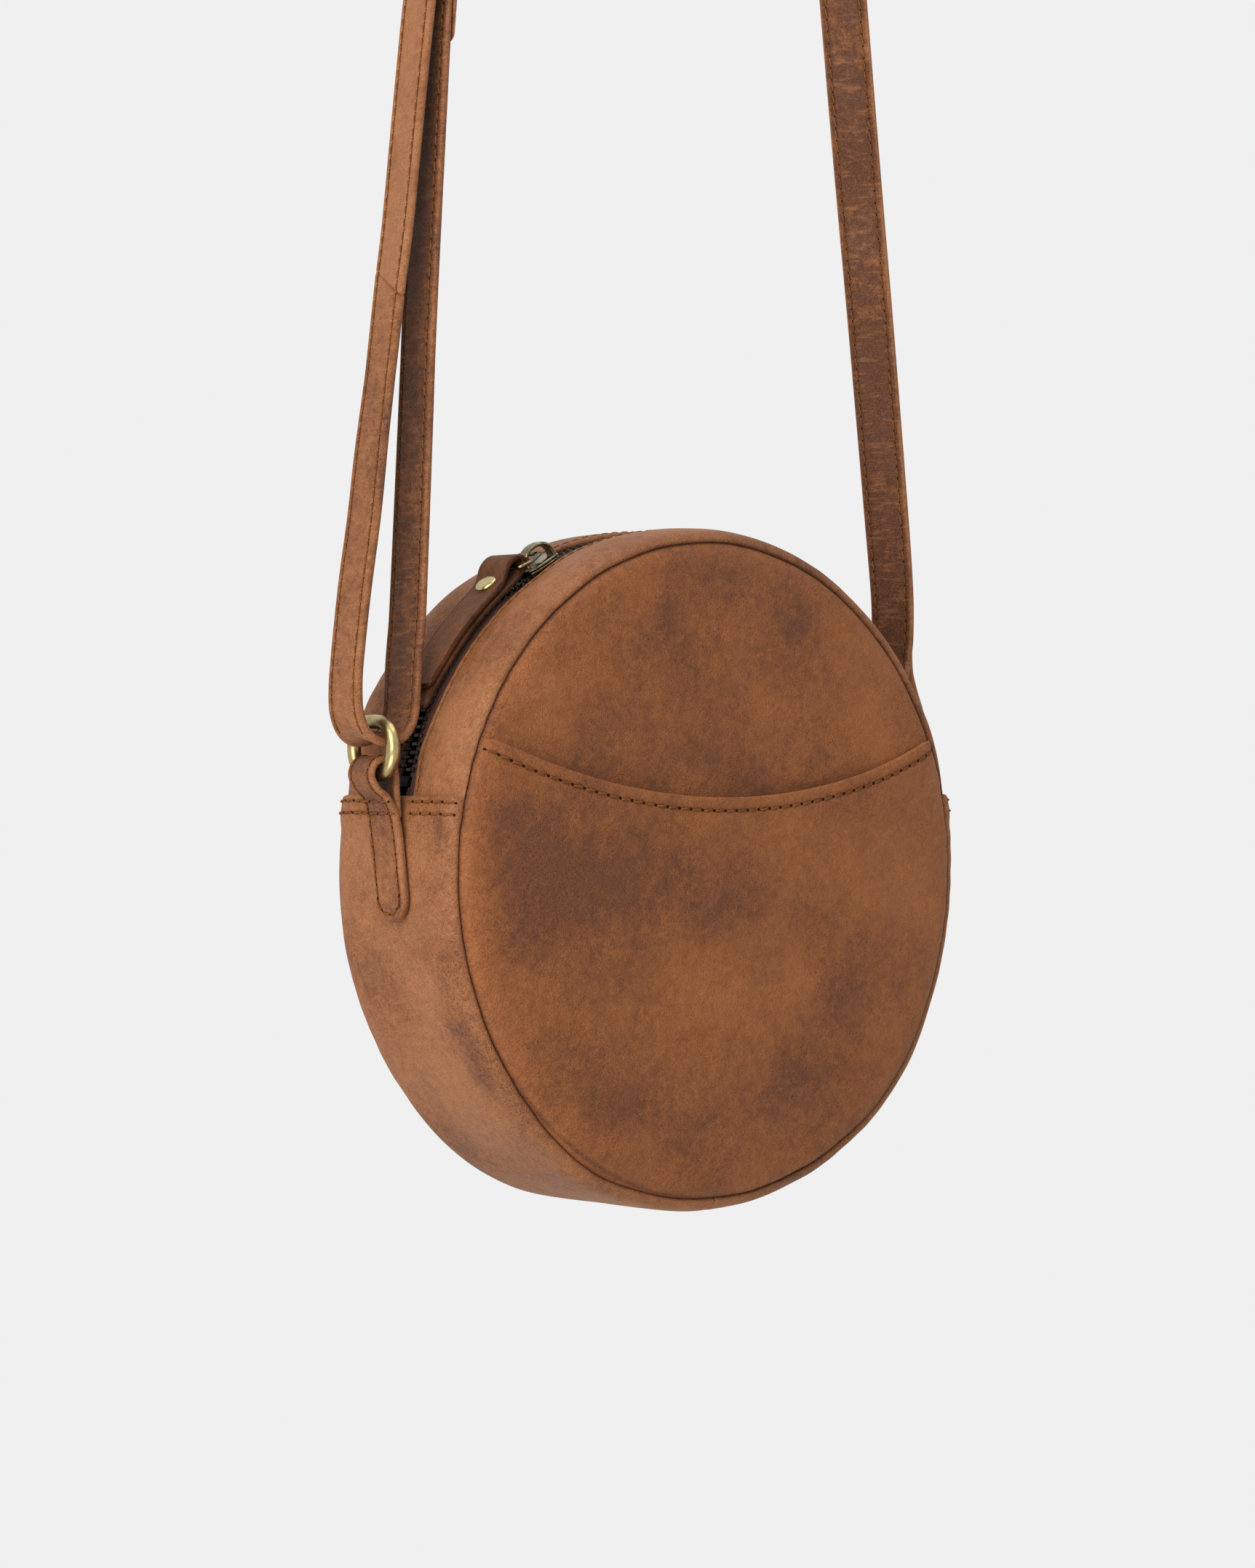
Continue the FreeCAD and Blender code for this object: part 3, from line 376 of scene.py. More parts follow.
# Materials


def fill(tree, sockets, values):
    """Sets sockets by name or number: another socket is linked, a plain value is written."""
    for key, value in values.items():
        if isinstance(value, bpy.types.NodeSocket):
            tree.links.new(value, sockets[key])
        else:
            sockets[key].default_value = value


class Nodes:
    """The nodes of a material or of the world."""

    def __init__(self, owner):
        owner.use_nodes = True
        self.tree = owner.node_tree

    def add(self, kind, inputs, **settings):
        node = self.tree.nodes.new("ShaderNode" + kind)
        for key, value in settings.items():
            setattr(node, key, value)
        fill(self.tree, node.inputs, inputs)
        return node.outputs

    def math(self, operation, first, second, clamp=False):
        return self.add("Math", {0: first, 1: second}, operation=operation, use_clamp=clamp)[0]

    def times(self, first, second):
        return self.math("MULTIPLY", first, second)

    def weighted(self, *terms):
        """The sum of the terms, each a socket and its weight."""
        total = self.times(*terms[0])
        for term in terms[1:]:
            total = self.math("ADD", total, self.times(*term))
        return total

    def remap(self, value, low, high, to_low, to_high):
        inputs = {"Value": value, "From Min": low, "From Max": high, "To Min": to_low, "To Max": to_high}
        return self.add("MapRange", inputs, interpolation_type="SMOOTHSTEP")[0]

    def mix(self, factor, first, second, blend="MIX"):
        settings = {"data_type": "RGBA", "blend_type": blend, "clamp_factor": True}
        return self.add("Mix", {0: factor, 6: first, 7: second}, **settings)[2]

    def ramp(self, value, stops):
        colour = self.add("ValToRGB", {"Fac": value})[0]
        elements = colour.node.color_ramp.elements
        while len(elements) < len(stops):
            elements.new(0.5)
        for element, (position, shade) in zip(elements, stops):
            element.position = position
            element.color = (*shade, 1.0)
        return colour

    def cloud(self, place, scale, detail=3.0, rough=0.55, distort=0.0):
        inputs = {"Vector": place, "Scale": scale, "Detail": detail}
        return self.add("TexNoise", {**inputs, "Roughness": rough, "Distortion": distort})[0]

    def cell_edges(self, place, scale):
        """How far it is to the edge of a cell, with so many cells to a millimetre."""
        inputs = {"Vector": place, "Scale": scale, "Randomness": 1.0}
        return self.add("TexVoronoi", inputs, feature="DISTANCE_TO_EDGE")["Distance"]

    def stirred(self, base, place, scale, detail, reach):
        """The base moved about by soft noise."""
        noise = self.add("TexNoise", {"Vector": place, "Scale": scale, "Detail": detail})["Color"]
        noise = self.add("VectorMath", {0: noise, "Scale": reach}, operation="SCALE")[0]
        return self.add("VectorMath", {0: base, 1: noise}, operation="ADD")[0]

    def stretched(self, place, rotation, scale):
        inputs = {"Vector": place, "Rotation": rotation, "Scale": scale}
        return self.add("Mapping", inputs, vector_type="TEXTURE")[0]

    def scaled(self, place, scale):
        return self.add("Mapping", {"Vector": place, "Scale": scale})[0]


class Look(Nodes):
    """A new material, with places on it in millimetres that shift moves so that pieces differ."""

    def __init__(self, name, shift=(0.0, 0.0, 0.0)):
        self.material = bpy.data.materials.new(name)
        super().__init__(self.material)
        metres = self.add("TexCoord", {})["Object"]
        self.place = self.add("Mapping", {"Vector": metres, "Location": shift, "Scale": (1000.0,) * 3})[0]

    def value(self, name):
        """A number that the mesh keeps at each point."""
        return self.add("Attribute", {}, attribute_name=name)["Fac"]

    def bump(self, height, distance):
        return self.add("Bump", {"Height": height, "Distance": distance, "Strength": 1.0})[0]

    def shade(self, inputs):
        fill(self.tree, self.tree.nodes["Principled BSDF"].inputs, inputs)
        return self.material


# Leather shades from dark to light.
TAN = ((0.12, 0.042, 0.0195), (0.228, 0.0735, 0.0205), (0.305, 0.109, 0.036))
PALE = ((0.118, 0.045, 0.0225), (0.226, 0.08, 0.0275), (0.312, 0.128, 0.052))
# The strap's darkest shade is deeper, to carry the painted shade on its inner face.
STRAP_SHADES = ((0.084, 0.03, 0.014), (0.226, 0.08, 0.0275), (0.33, 0.137, 0.057))
DEEP = ((0.078, 0.028, 0.012), (0.155, 0.056, 0.019), (0.225, 0.087, 0.031))
PORE_SHADE = (0.45, 0.405, 0.385, 1.0)
FIBRE_SHADE = (0.51, 0.465, 0.43, 1.0)
CUT_SHADE = (0.4, 0.36, 0.34, 1.0)


def between(first, second, share):
    return tuple((1 - share) * a + share * b for a, b in zip(first, second))


def leather(name, shift, rough, web, fine, shades=TAN, creases=0.0, shine=0.24, blotch=1.0):
    """Oiled nubuck: soft patches, and a fine pale web round darker cells.

    fine is the number of cells to a millimetre, web the strength of the web and of the pale fibres, creases
    that of the ridges across a strap, and blotch that of the clouds. The mesh keeps a tone, and an edge of 1
    where the leather is cut.
    """
    look = Look(name, shift)
    place = look.place
    dark, middle, light = shades
    bright = tuple(1.16 * c for c in light)
    patches = look.cloud(place, 0.021, 3.0, 0.55, 0.5)
    clouds = look.cloud(look.stretched(place, (0.0, 0.7, 0.0), (0.9, 1.0, 1.5)), 0.08, 4.0, 0.62, 0.7)
    mottle = look.cloud(place, 0.33, 3.0, 0.6, 0.5)
    amounts = (1.3, 1.2 * blotch, 0.95 * blotch)
    # The tone, on some pieces, carries painted light and shade as well as marks.
    level = look.math("ADD", look.value("tone"), look.weighted(*zip((patches, clouds, mottle), amounts)))
    level = look.math("SUBTRACT", level, 0.5 * sum(amounts) - 0.5)
    edge = look.value("edge")

    bent = look.stirred(place, place, 0.07, 1.0, 8.0)
    bent = look.stirred(bent, place, 0.9, 2.0, 0.6)
    bent = look.stretched(bent, (0.3, 0.5, 0.0), (0.95, 0.95, 1.15))
    cells = look.cell_edges(bent, fine)
    pits = look.remap(cells, 0.02, 0.2, 0.0, 1.0)
    folds = look.remap(look.cell_edges(bent, 0.52), 0.0, 0.07, 1.0, 0.0)
    folds = look.times(folds, look.remap(clouds, 0.36, 0.62, 0.15, 1.0))
    fibres = look.cloud(look.scaled(bent, (2.2, 2.2, 0.8)), 1.0, 3.0, 0.65)
    ridges = look.cloud(look.scaled(place, (0.3, 0.16, 1.0)), 0.75, 4.0, 0.6, 0.4)

    cell = look.ramp(level, [(0.0, dark), (0.5, middle), (1.0, light)])
    net = [(0.0, between(dark, middle, 0.5)), (0.5, between(middle, light, 0.7)), (1.0, bright)]
    walls = look.times(look.math("SUBTRACT", 1.0, pits), look.remap(mottle, 0.3, 0.7, 0.45, 1.0))
    colour = look.mix(look.weighted((walls, web), (folds, 0.6 * web)), cell, look.ramp(level, net))
    pores = look.times(look.remap(cells, 0.2, 0.42, 0.0, 0.75), look.remap(level, 0.1, 0.8, 1.0, 0.4))
    colour = look.mix(pores, colour, PORE_SHADE, "MULTIPLY")
    colour = look.mix(look.remap(fibres, 0.34, 0.52, 0.38, 0.0), colour, FIBRE_SHADE, "MULTIPLY")
    colour = look.mix(look.remap(fibres, 0.58, 0.74, 0.0, 0.3 * web), colour, (*bright, 1.0))
    colour = look.mix(look.remap(ridges, 0.5, 0.7, 0.0, 0.5 * creases), colour, (*bright, 1.0))
    gloss = look.remap(clouds, 0.3, 0.7, rough - 0.08, rough + 0.09)
    relief = [(mottle, 1.2), (pits, -0.35), (folds, 0.8), (fibres, 0.25), (ridges, 4.0 * creases)]
    height = look.times(look.weighted(*relief), look.math("SUBTRACT", 1.0, edge))
    return look.shade({
        "Base Color": look.mix(edge, colour, CUT_SHADE, "MULTIPLY"),
        "Roughness": look.math("SUBTRACT", gloss, look.times(edge, 0.36)),
        "Specular IOR Level": shine,
        "Sheen Weight": 0.04,
        "Sheen Roughness": 0.4,
        "Sheen Tint": (1.0, 0.78, 0.58, 1.0),
        "Normal": look.bump(height, 0.00014),
    })


def brass(name, bright, dark, rough, tarnish):
    """Antique brass with darker tarnish and a brushed surface."""
    look = Look(name, (3.0, 7.0, 1.0))
    stain = look.cloud(look.place, 0.22, 4.0, 0.65, 1.2)
    specks = look.cloud(look.place, 1.8, 3.0, 0.6)
    level = look.weighted((stain, 0.75), (specks, 0.25))
    return look.shade({
        "Base Color": look.ramp(level, [(tarnish - 0.2, dark), (tarnish + 0.12, bright), (0.95, bright)]),
        "Metallic": 1.0,
        "Roughness": look.remap(stain, 0.3, 0.7, rough + 0.1, rough - 0.04),
        "Normal": look.bump(specks, 0.00002),
    })


def woven(name, dark, light, pitch):
    """A plain weave of fine yarns."""
    look = Look(name)
    x, y, z = look.add("SeparateXYZ", {"Vector": look.place})
    around = look.times(look.math("ARCTAN2", x, z), CHAIN_RADIUS)
    yarns = [look.math("SINE", look.times(run, 2 * math.pi / pitch), 0.0) for run in (around, y)]
    weave = look.add("Math", {0: look.times(*yarns), 1: 0.5, 2: 0.5}, operation="MULTIPLY_ADD")[0]
    fuzz = look.cloud(look.place, 0.7, 3.0, 0.6)
    level = look.weighted((weave, 0.6), (fuzz, 0.4))
    return look.shade({
        "Base Color": look.ramp(level, [(0.2, dark), (0.8, light)]),
        "Roughness": 0.85,
        "Sheen Weight": 0.15,
        "Specular IOR Level": 0.2,
        "Normal": look.bump(weave, 0.00012),
    })


def sewing_thread(name, dark, light):
    look = Look(name, (1.0, 2.0, 3.0))
    fuzz = look.cloud(look.place, 1.6, 3.0, 0.6)
    level = look.weighted((fuzz, 0.6), (look.cloud(look.place, 0.12, 2.0), 0.4))
    return look.shade({
        "Base Color": look.ramp(level, [(0.35, dark), (0.65, light)]),
        "Roughness": 0.75,
        "Specular IOR Level": 0.1,
        "Normal": look.bump(fuzz, 0.00005),
    })


PANEL_LEATHER = leather("panel_leather", (0.0, 0.0, 0.0), 0.62, 1.3, 1.5, blotch=0.85)
POCKET_LEATHER = leather("pocket_leather", (310.0, 40.0, 70.0), 0.62, 1.3, 1.5, blotch=0.85)
GUSSET_LEATHER = leather("gusset_leather", (-150.0, 220.0, 15.0), 0.58, 1.55, 1.2, PALE)
STRIP_LEATHER = leather("strip_leather", (90.0, -340.0, 260.0), 0.56, 1.25, 1.4, PALE)
BACK_LEATHER = leather("back_leather", (520.0, 130.0, -90.0), 0.62, 1.15, 1.5)
TAB_LEATHER = leather("tab_leather", (-61.0, 530.0, 44.0), 0.6, 1.1, 1.3, PALE)
STRAP_LEATHER = leather("strap_leather", (740.0, 20.0, 500.0), 0.6, 0.9, 1.5, STRAP_SHADES, 0.7)
LOOP_LEATHER = leather("strap_loop_leather", (40.0, 81.0, -310.0), 0.6, 0.9, 1.5, STRAP_SHADES, 0.7)
PULLER_LEATHER = leather("puller_leather_look", (33.0, -99.0, 410.0), 0.5, 0.4, 1.8, DEEP, shine=0.13)
RING_BRASS = brass("ring_brass", (0.45, 0.35, 0.165), (0.13, 0.095, 0.045), 0.27, 0.42)
RIVET_BRASS = brass("rivet_brass", (0.58, 0.46, 0.23), (0.2, 0.15, 0.07), 0.24, 0.34)
SLIDER_BRASS = brass("slider_brass", (0.27, 0.22, 0.125), (0.032, 0.025, 0.015), 0.22, 0.52)
TOOTH_BRASS = brass("tooth_brass", (0.05, 0.039, 0.026), (0.012, 0.009, 0.006), 0.42, 0.54)
STOP_BRASS = brass("stop_brass", (0.022, 0.017, 0.011), (0.008, 0.006, 0.004), 0.5, 0.54)
TAPE = woven("zip_tape_weave", (0.035, 0.0115, 0.007), (0.11, 0.037, 0.023), 0.9)
LINING = woven("lining_weave", (0.02, 0.012, 0.008), (0.06, 0.038, 0.026), 0.6)
THREAD = sewing_thread("brown_thread", (0.11, 0.037, 0.0105), (0.25, 0.094, 0.025))
# The stitch-hole discs are near black: painted shade inside each hole.
HOLE_SHADE = sewing_thread("stitch_hole_shade", (0.012, 0.005, 0.003), (0.026, 0.011, 0.006))

# Darker and lighter patches of wear, as (x, z, radius, strength).
POCKET_MARKS = [
    (-54, 5, 23, -0.34), (-68, -16, 17, -0.25), (-29, 0, 17, -0.14), (-76, 9, 15, -0.28),
    (-30, 12, 14, -0.14), (-45, -67, 20, -0.42), (-18, -76, 18, -0.34), (40, -18, 10, -0.28),
    (45, -36, 10, -0.3), (27, -62, 15, -0.36), (52, -52, 10, -0.2), (3, -8, 12, -0.1), (72, -30, 12, -0.18),
    (-58, -42, 20, 0.2), (-8, -36, 22, 0.3), (22, -30, 15, 0.3), (60, 2, 18, 0.3), (74, -14, 16, 0.2),
    (12, -88, 12, 0.12), (64, -56, 14, 0.24), (22, 6, 12, 0.18), (-80, -30, 10, 0.12), (84, 26, 11, 0.35),
]
PANEL_MARKS = [
    (-28, 62, 18, -0.16), (-44, 30, 16, -0.34), (-4, 30, 16, -0.26), (30, 68, 18, -0.3), (20, 44, 11, 0.24),
    (-6, 52, 14, 0.14), (56, 46, 15, 0.18), (-62, 52, 14, 0.12), (44, 28, 14, -0.22), (66, 34, 12, 0.16),
    (-14, 78, 14, -0.06), (8, 88, 12, -0.16), (0, 66, 40, -0.22),
]
# The same round the bag, as (turn, y, radius, strength).
GUSSET_MARKS = [
    (117, -6, 14, 0.4), (137, -2, 12, 0.34), (116, -19, 7, -0.4), (124, -21, 7, -0.55), (132, -23, 7, -0.5),
    (150, -6, 12, -0.22), (83, -19, 3.5, -0.6), (108, 11, 10, -0.3), (104, -22, 6, -0.34), (92, 4, 14, 0.16),
    (88, -10, 7, 0.22), (165, -14, 12, 0.2), (200, -8, 16, -0.26), (235, 6, 18, 0.2), (262, -4, 12, -0.14),
    # The marks at turns 240, 257 and 272 near the front seam are painted light on the right-hand roll by the
    # hem.
    (240, -20, 11, 0.34), (257, -23, 9, 0.4), (272, -22, 9, 0.4), (185, 14, 12, -0.3), (140, 18, 12, -0.28),
    (280, 12, 10, -0.25),
]
STRIP_MARKS = [
    (66, -18, 8, 0.3), (52, -20, 7, -0.26), (38, -16, 8, 0.26), (20, -20, 8, -0.24), (4, -17, 9, 0.2),
    (-22, -18, 9, -0.26), (-48, -16, 9, 0.22), (-66, -20, 8, -0.24), (60, 18, 9, -0.3), (34, 16, 8, 0.22),
    (6, 19, 9, -0.24), (-30, 17, 9, 0.2), (-58, 18, 9, -0.26),
]


def front_tone_with_painted_light_and_shade(marks):
    """Front leather's tone: marks, painted light on the rim, dirt and painted shade in the seam's crease."""

    def tone(points):
        radius = np.hypot(points[:, 0], points[:, 2])
        # Painted light makes the rim a little lighter; the crease's dark line is dirt and painted shade.
        total = 0.1 * smoothstep(radius, 84.0, 94.0) - 0.55 * bell(radius, 95.5, 0.55)
        x_place = points[:, 0] + 5.0 * ripple(points, 11, 26.0)
        z_place = points[:, 2] + 5.0 * ripple(points, 12, 31.0)
        for x, z, size, strength in marks:
            total += strength * bell(np.hypot(x_place - x, z_place - z), 0.0, size)
        return total

    return tone


def round_tone_with_painted_light_and_shade(level, marks):
    """Tone of the leather round the bag: a level, the marks, and dirt and painted shade in the seam's crease.
    """

    def tone(points):
        turn = np.degrees(np.arctan2(-points[:, 0], points[:, 2]))
        depth = points[:, 1] + 2.5 * ripple(points, 13, 17.0)
        wander = 3.0 * ripple(points, 14, 19.0)
        # The crease's dark line is partly dirt and partly painted shade.
        total = level - 0.45 * bell(np.hypot(points[:, 0], points[:, 2]), 95.6, 0.55)
        for at, y, size, strength in marks:
            along = np.radians((turn - at + 180.0) % 360.0 - 180.0) * ROUND_RADIUS + wander
            total += strength * np.exp(-(along ** 2 / 1.6 + (depth - y) ** 2) / size ** 2)
        return total

    return tone


def plain_tone(level, seed, spread=0.12, wavelength=60.0):
    def tone(points):
        return level + spread * ripple(points, seed, wavelength)

    return tone


# Front and back panels, front pocket

# Outlines of the panels and the pocket, as (radius, depth).
PANEL_MIDDLE = [(0.3, 29.0), (30, 29.0), (60, 28.95)]
FRONT_SHOULDER = [(78, 28.7), (86, 28.3), (90.5, 27.8), (93.2, 27.1), (94.7, 26.2)]
BACK_SHOULDER = [(76, 28.75), (86, 28.2), (90.5, 27.6), (93.2, 26.95), (94.7, 26.1)]
PANEL_RIM = [(95.5, 25.2), (95.95, 24.0)]
PANEL_INNER = [(94.9, 23.8), (93.0, 25.0), (90, 25.8), (70, 26.6), (30, 26.95), (0.3, 27.0)]
POCKET_PROFILE = [
    (0, 32.0), (20, 31.95), (40, 31.7), (60, 31.2), (75, 30.6), (84, 30.0), (89, 29.35), (92, 28.6),
    (93.6, 27.9), (94.7, 27.0), (95.4, 25.9), (95.7, 24.6),
]
POCKET_CURVE = smooth_line(POCKET_PROFILE, 1200)
CURL_START = 88.0
POCKET_ROW = 3.0


def make_panel(name, shoulder, sign, material, node, tone):
    """A panel of rings: its outer face, the curl of its sewn rim and its inner face."""
    fine = smooth_line([*PANEL_MIDDLE, *shoulder, *PANEL_RIM], 900)
    face = fine[fine[:, 0] < CURL_START]
    kept = np.linspace(0, len(face) - 1, 46).astype(int)
    curl = spread_evenly(fine[len(face):], 30)
    rings = np.vstack([face[kept], curl, smooth_line(PANEL_INNER, 26)])
    radius = rings[:, :1]
    turn = circle(320)
    grid = points_at(radius * np.cos(turn), sign * rings[:, 1:], radius * np.sin(turn))
    make_piece(name, Shape(settle(grid)), "bag", material, "bag_leather", node, tone)


def mouth_height(x, below=0.0):
    """Height at x of the pocket's mouth, or of a line below it."""
    return MOUTH_CENTRE - np.sqrt((MOUTH_RADIUS + below) ** 2 - x ** 2)


def below_mouth(x, z):
    return np.hypot(x, z - MOUTH_CENTRE) - MOUTH_RADIUS


def pocket_depth(x, z):
    """How far the pocket's face stands in front of the bag's middle, sunk along its stitches."""
    radius = np.clip(np.hypot(x, z), 0.0, SEAM_RADIUS - 0.05)
    below = below_mouth(x, z)
    depth = np.interp(radius, *POCKET_CURVE.T)
    depth -= 0.3 * bell(below, POCKET_ROW, 0.75)
    depth += 0.15 * bell(below, 1.2, 0.9)
    depth += 0.95 * bell(below, 0.0, 12.0) * np.clip(1 - (x / 93.0) ** 2, 0.0, 1.0)
    return depth


def make_pocket():
    x = np.linspace(60.0, 95.0, 4000)
    end_x = float(x[np.argmin(np.abs(np.hypot(x, mouth_height(x)) - SEAM_RADIUS + 0.05))])
    start = math.atan2(mouth_height(end_x), -end_x)
    share = np.linspace(0.0, 1.0, 260)
    share = share - 0.06 * np.sin(2 * math.pi * share) / (2 * math.pi)
    mouth_x = end_x * (2 * share - 1)
    mouth_z = mouth_height(mouth_x)
    angle = start + share * (3 * math.pi - 2 * start)
    down = smoothstep(np.linspace(0.0, 1.0, 150), 0.0, 1.0)
    x = mouth_x[:, None] * (1 - down) + SEAM_RADIUS * np.cos(angle)[:, None] * down
    z = mouth_z[:, None] * (1 - down) + SEAM_RADIUS * np.sin(angle)[:, None] * down
    depth = pocket_depth(x, z)
    inside = smoothstep(SEAM_RADIUS - np.hypot(x, z), 0.2, 5.0)
    thick = 0.35 + inside * (1.15 + 0.35 * fade(below_mouth(x, z), 5.0, 9.0))
    half = 0.5 * thick[:, :1]
    roll = np.linspace(0.0, math.pi, 9)[1:-1]
    up = points_at(-mouth_x, 0.0, MOUTH_CENTRE - mouth_z) / MOUTH_RADIUS
    middle = points_at(mouth_x, half[:, 0] - depth[:, 0], mouth_z)
    lip = middle[:, None, :] + (half * np.sin(roll))[:, :, None] * up[:, None, :]
    lip[:, :, 1] -= half * np.cos(roll)
    face = points_at(x, -depth, z)[:, ::-1]
    shape = Shape(settle(np.hstack([face, lip, points_at(x, thick - depth, z)])), caps=False)
    make_piece("pocket", shape, "bag", POCKET_LEATHER, "bag_leather", "front_pocket", front_tone_with_painted_light_and_shade(POCKET_MARKS))

    span = np.sin(np.arcsin(end_x / MOUTH_RADIUS) * np.linspace(-0.984, 0.984, 400))
    span = (MOUTH_RADIUS + POCKET_ROW) * span
    height = mouth_height(span, POCKET_ROW)
    line = points_at(span, -pocket_depth(span, height) - 0.08, height)
    stitches = Stitches()
    stitches.row(settle(line), np.broadcast_to(-DEPTHWAYS, line.shape), 4.4, 0.35, 0.5, 0.8)
    stitches.make("pocket")


make_panel("panel_front", FRONT_SHOULDER, -1, PANEL_LEATHER, "front_panel", front_tone_with_painted_light_and_shade(PANEL_MARKS))
make_panel("panel_back", BACK_SHOULDER, 1, BACK_LEATHER, "back_panel", plain_tone(0.0, 21))
make_pocket()

# Gusset: lower halves with their hems, and the two strips beside the zip


def mirrored(half, middle):
    """A section from the end of one half, through the middle, to the end of the half opposite."""
    return [*half[::-1], middle, *((radius, -y) for radius, y in half)]


# Sections as (radius, y). The roll into the seam is the same on the lower halves and the strips.
SEAM_ROLL = [(99.3, -22.7), (98.5, -24.8), (97.4, -25.9), (96.4, -26.15), (95.75, -25.6), (95.3, -24.3)]
GUSSET_OUTER = mirrored([(99.75, -12), (99.7, -19.5), *SEAM_ROLL], (99.55, 0))
GUSSET_INNER = mirrored([(97.9, 19), (97.3, 22.4), (96.3, 23.8)], (97.8, 0))
STRIP_OUTER = [
    (98.0, -6.6), (98.2, -5.9), (98.9, -5.6), (99.6, -5.85), (99.95, -6.6), (99.75, -7.7), (99.95, -8.9),
    (100.0, -14), (99.8, -19.5), *SEAM_ROLL,
]
STRIP_INNER = [(96.3, -23.8), (97.3, -22.4), (97.9, -19), (97.98, -14), (98.0, -8.5)]
HEM_EDGE = 1.4
HEM_ROUND = 1.5


def on_face(radius):
    """0 in the seam, 1 on the gusset's open face."""
    return smoothstep(radius, 95.8, 98.0)


def hem_lift(below):
    """How far the folded hem stands proud, at a distance below its edge."""
    return 0.5 * fade(below, 6.2, 10.5)


def make_lower(name, sign, node, level):
    outer = smooth_line(GUSSET_OUTER, 104)
    inner = smooth_line(GUSSET_INNER, 34)
    plain_end = HEM_ANGLE - HEM_EDGE
    hem = plain_end + HEM_EDGE * np.linspace(0, 1, 15)[1:] ** 0.6
    arc = np.radians(np.concatenate([np.linspace(0.06, plain_end, 150), hem]))
    below = (math.radians(HEM_ANGLE) - arc) * ROUND_RADIUS
    rise = hem_lift(below)
    drop = HEM_ROUND * (1 - round_over(below / HEM_ROUND))
    seam = 0.5 * bell(arc * ROUND_RADIUS, 0.0, 0.8)
    radius = outer[:, 0] + (rise - drop - seam)[:, None] * on_face(outer[:, 0])
    depth = outer[:, 1] * (1 + 0.012 * rise)[:, None]
    radius = np.hstack([radius, np.broadcast_to(inner[:, 0], (len(arc), len(inner)))])
    depth = np.hstack([depth, np.broadcast_to(inner[:, 1], (len(arc), len(inner)))])
    turn = arc[:, None]
    shape = Shape(settle(points_at(sign * radius * np.sin(turn), depth, -radius * np.cos(turn))))
    make_piece(name, shape, "bag", GUSSET_LEATHER, "bag_leather", node, round_tone_with_painted_light_and_shade(level, GUSSET_MARKS))


def open_end(turn, start):
    """1 along the open end of the zip, left of the slider, and 0 elsewhere."""
    return smoothstep(turn, start, start + 8.0) * fade(turn, 60.0, 72.0)


def strip_dip(turn):
    """The strips slip under the hem at each end."""
    return 1.25 * fade(np.radians(TOP_ANGLE - np.abs(turn)) * ROUND_RADIUS, 1.0, 15.0)


def strip_press(turn):
    """The strips lie lower along the open end."""
    return 0.7 * open_end(turn, 24.0)


def make_strip(name, side, node, level):
    section = np.vstack([smooth_line(STRIP_OUTER, 64), smooth_line(STRIP_INNER, 22)])
    turn = np.linspace(-78.6, 78.6, 230)[:, None]
    pressed = smoothstep(section[:, 0], 98.0, 99.9) * fade(-section[:, 1], 8.0, 14.0)
    radius = section[:, 0] - strip_dip(turn) * on_face(section[:, 0]) - strip_press(turn) * pressed
    shape = Shape(settle(polar(turn, radius, -side * section[:, 1])))
    make_piece(name, shape, "bag", STRIP_LEATHER, "bag_leather", node, round_tone_with_painted_light_and_shade(level, STRIP_MARKS))
    turn = np.linspace(-76.2, 76.2, 500)
    stitches = Stitches()
    line = polar(turn, 99.8 - strip_dip(turn) - strip_press(turn), side * 7.7)
    stitches.row(line, polar(turn, 1.0), 3.9, 0.24, 0.2)
    stitches.make(name)


make_lower("gusset_left", -1, "gusset_lower_left", 0.17)
make_lower("gusset_right", 1, "gusset_lower_right", 0.16)
make_strip("strip_front", -1, "gusset_top_front", 0.08)
make_strip("strip_back", 1, "gusset_top_back", 0.06)

# Tabs that hold the rings, the hem rows that cross them, and the rings

# The tab's middle line on the left, as (x, z).
TAB_PATH = [
    (-100.5, -13.4), (-101.0, -9), (-101.3, -3.5), (-101.4, 2), (-101.45, 8), (-101.8, 13.5), (-102.6, 18),
    (-104.5, 21.6), (-107.8, 24.4), (-109.6, 27.8), (-108.4, 31.0), (-105.3, 32.2), (-102.2, 31.0),
    (-101.0, 28.0), (-100.8, 24), (-100.5, 20), (-100.2, 16),
]
TAB_INSET = 4.9
TAB_BEND = 7.0
TAB_STITCH = (3.7, 0.34, 0.36, 0.84)
HEM_STITCH = (4.4, 0.4, 0.43, 0.82)
HEM_ROWS = (2.0, 5.4)
RING_TURN = {-1: math.radians(-6.0), 1: math.radians(-18.0)}


def hem_row(sign, below, path, rises):
    """A stitch line and its normals round the gusset, below the hem's edge, up and over the tab."""
    turn = math.radians(HEM_ANGLE) - below / ROUND_RADIUS
    reach = np.linspace(-25.6, 25.6, 300)
    outer = smooth_line(GUSSET_OUTER, 600)
    skin = outer[outer[:, 0] > 96.4]
    radius = np.interp(reach, skin[:, 1], skin[:, 0])
    radius = radius + hem_lift(below) * on_face(radius) + 0.16
    line = settle(points_at(sign * radius * math.sin(turn), reach, -radius * math.cos(turn)))
    near = int(np.argmin(np.abs(path[:96, 2] - line[150, 2])))
    over = fade(np.abs(reach - path[near, 1]), 6.7, 7.2)
    laid = abs(path[near, 0]) + rises[near] + 0.12
    line[:, 0] += over * (sign * laid - line[:, 0])
    tip = math.radians(62.0) * smoothstep(np.abs(reach), 20.0, 26.2) * np.sign(reach)
    return line, points_at(sign * np.cos(tip), np.sin(tip), 0.0)


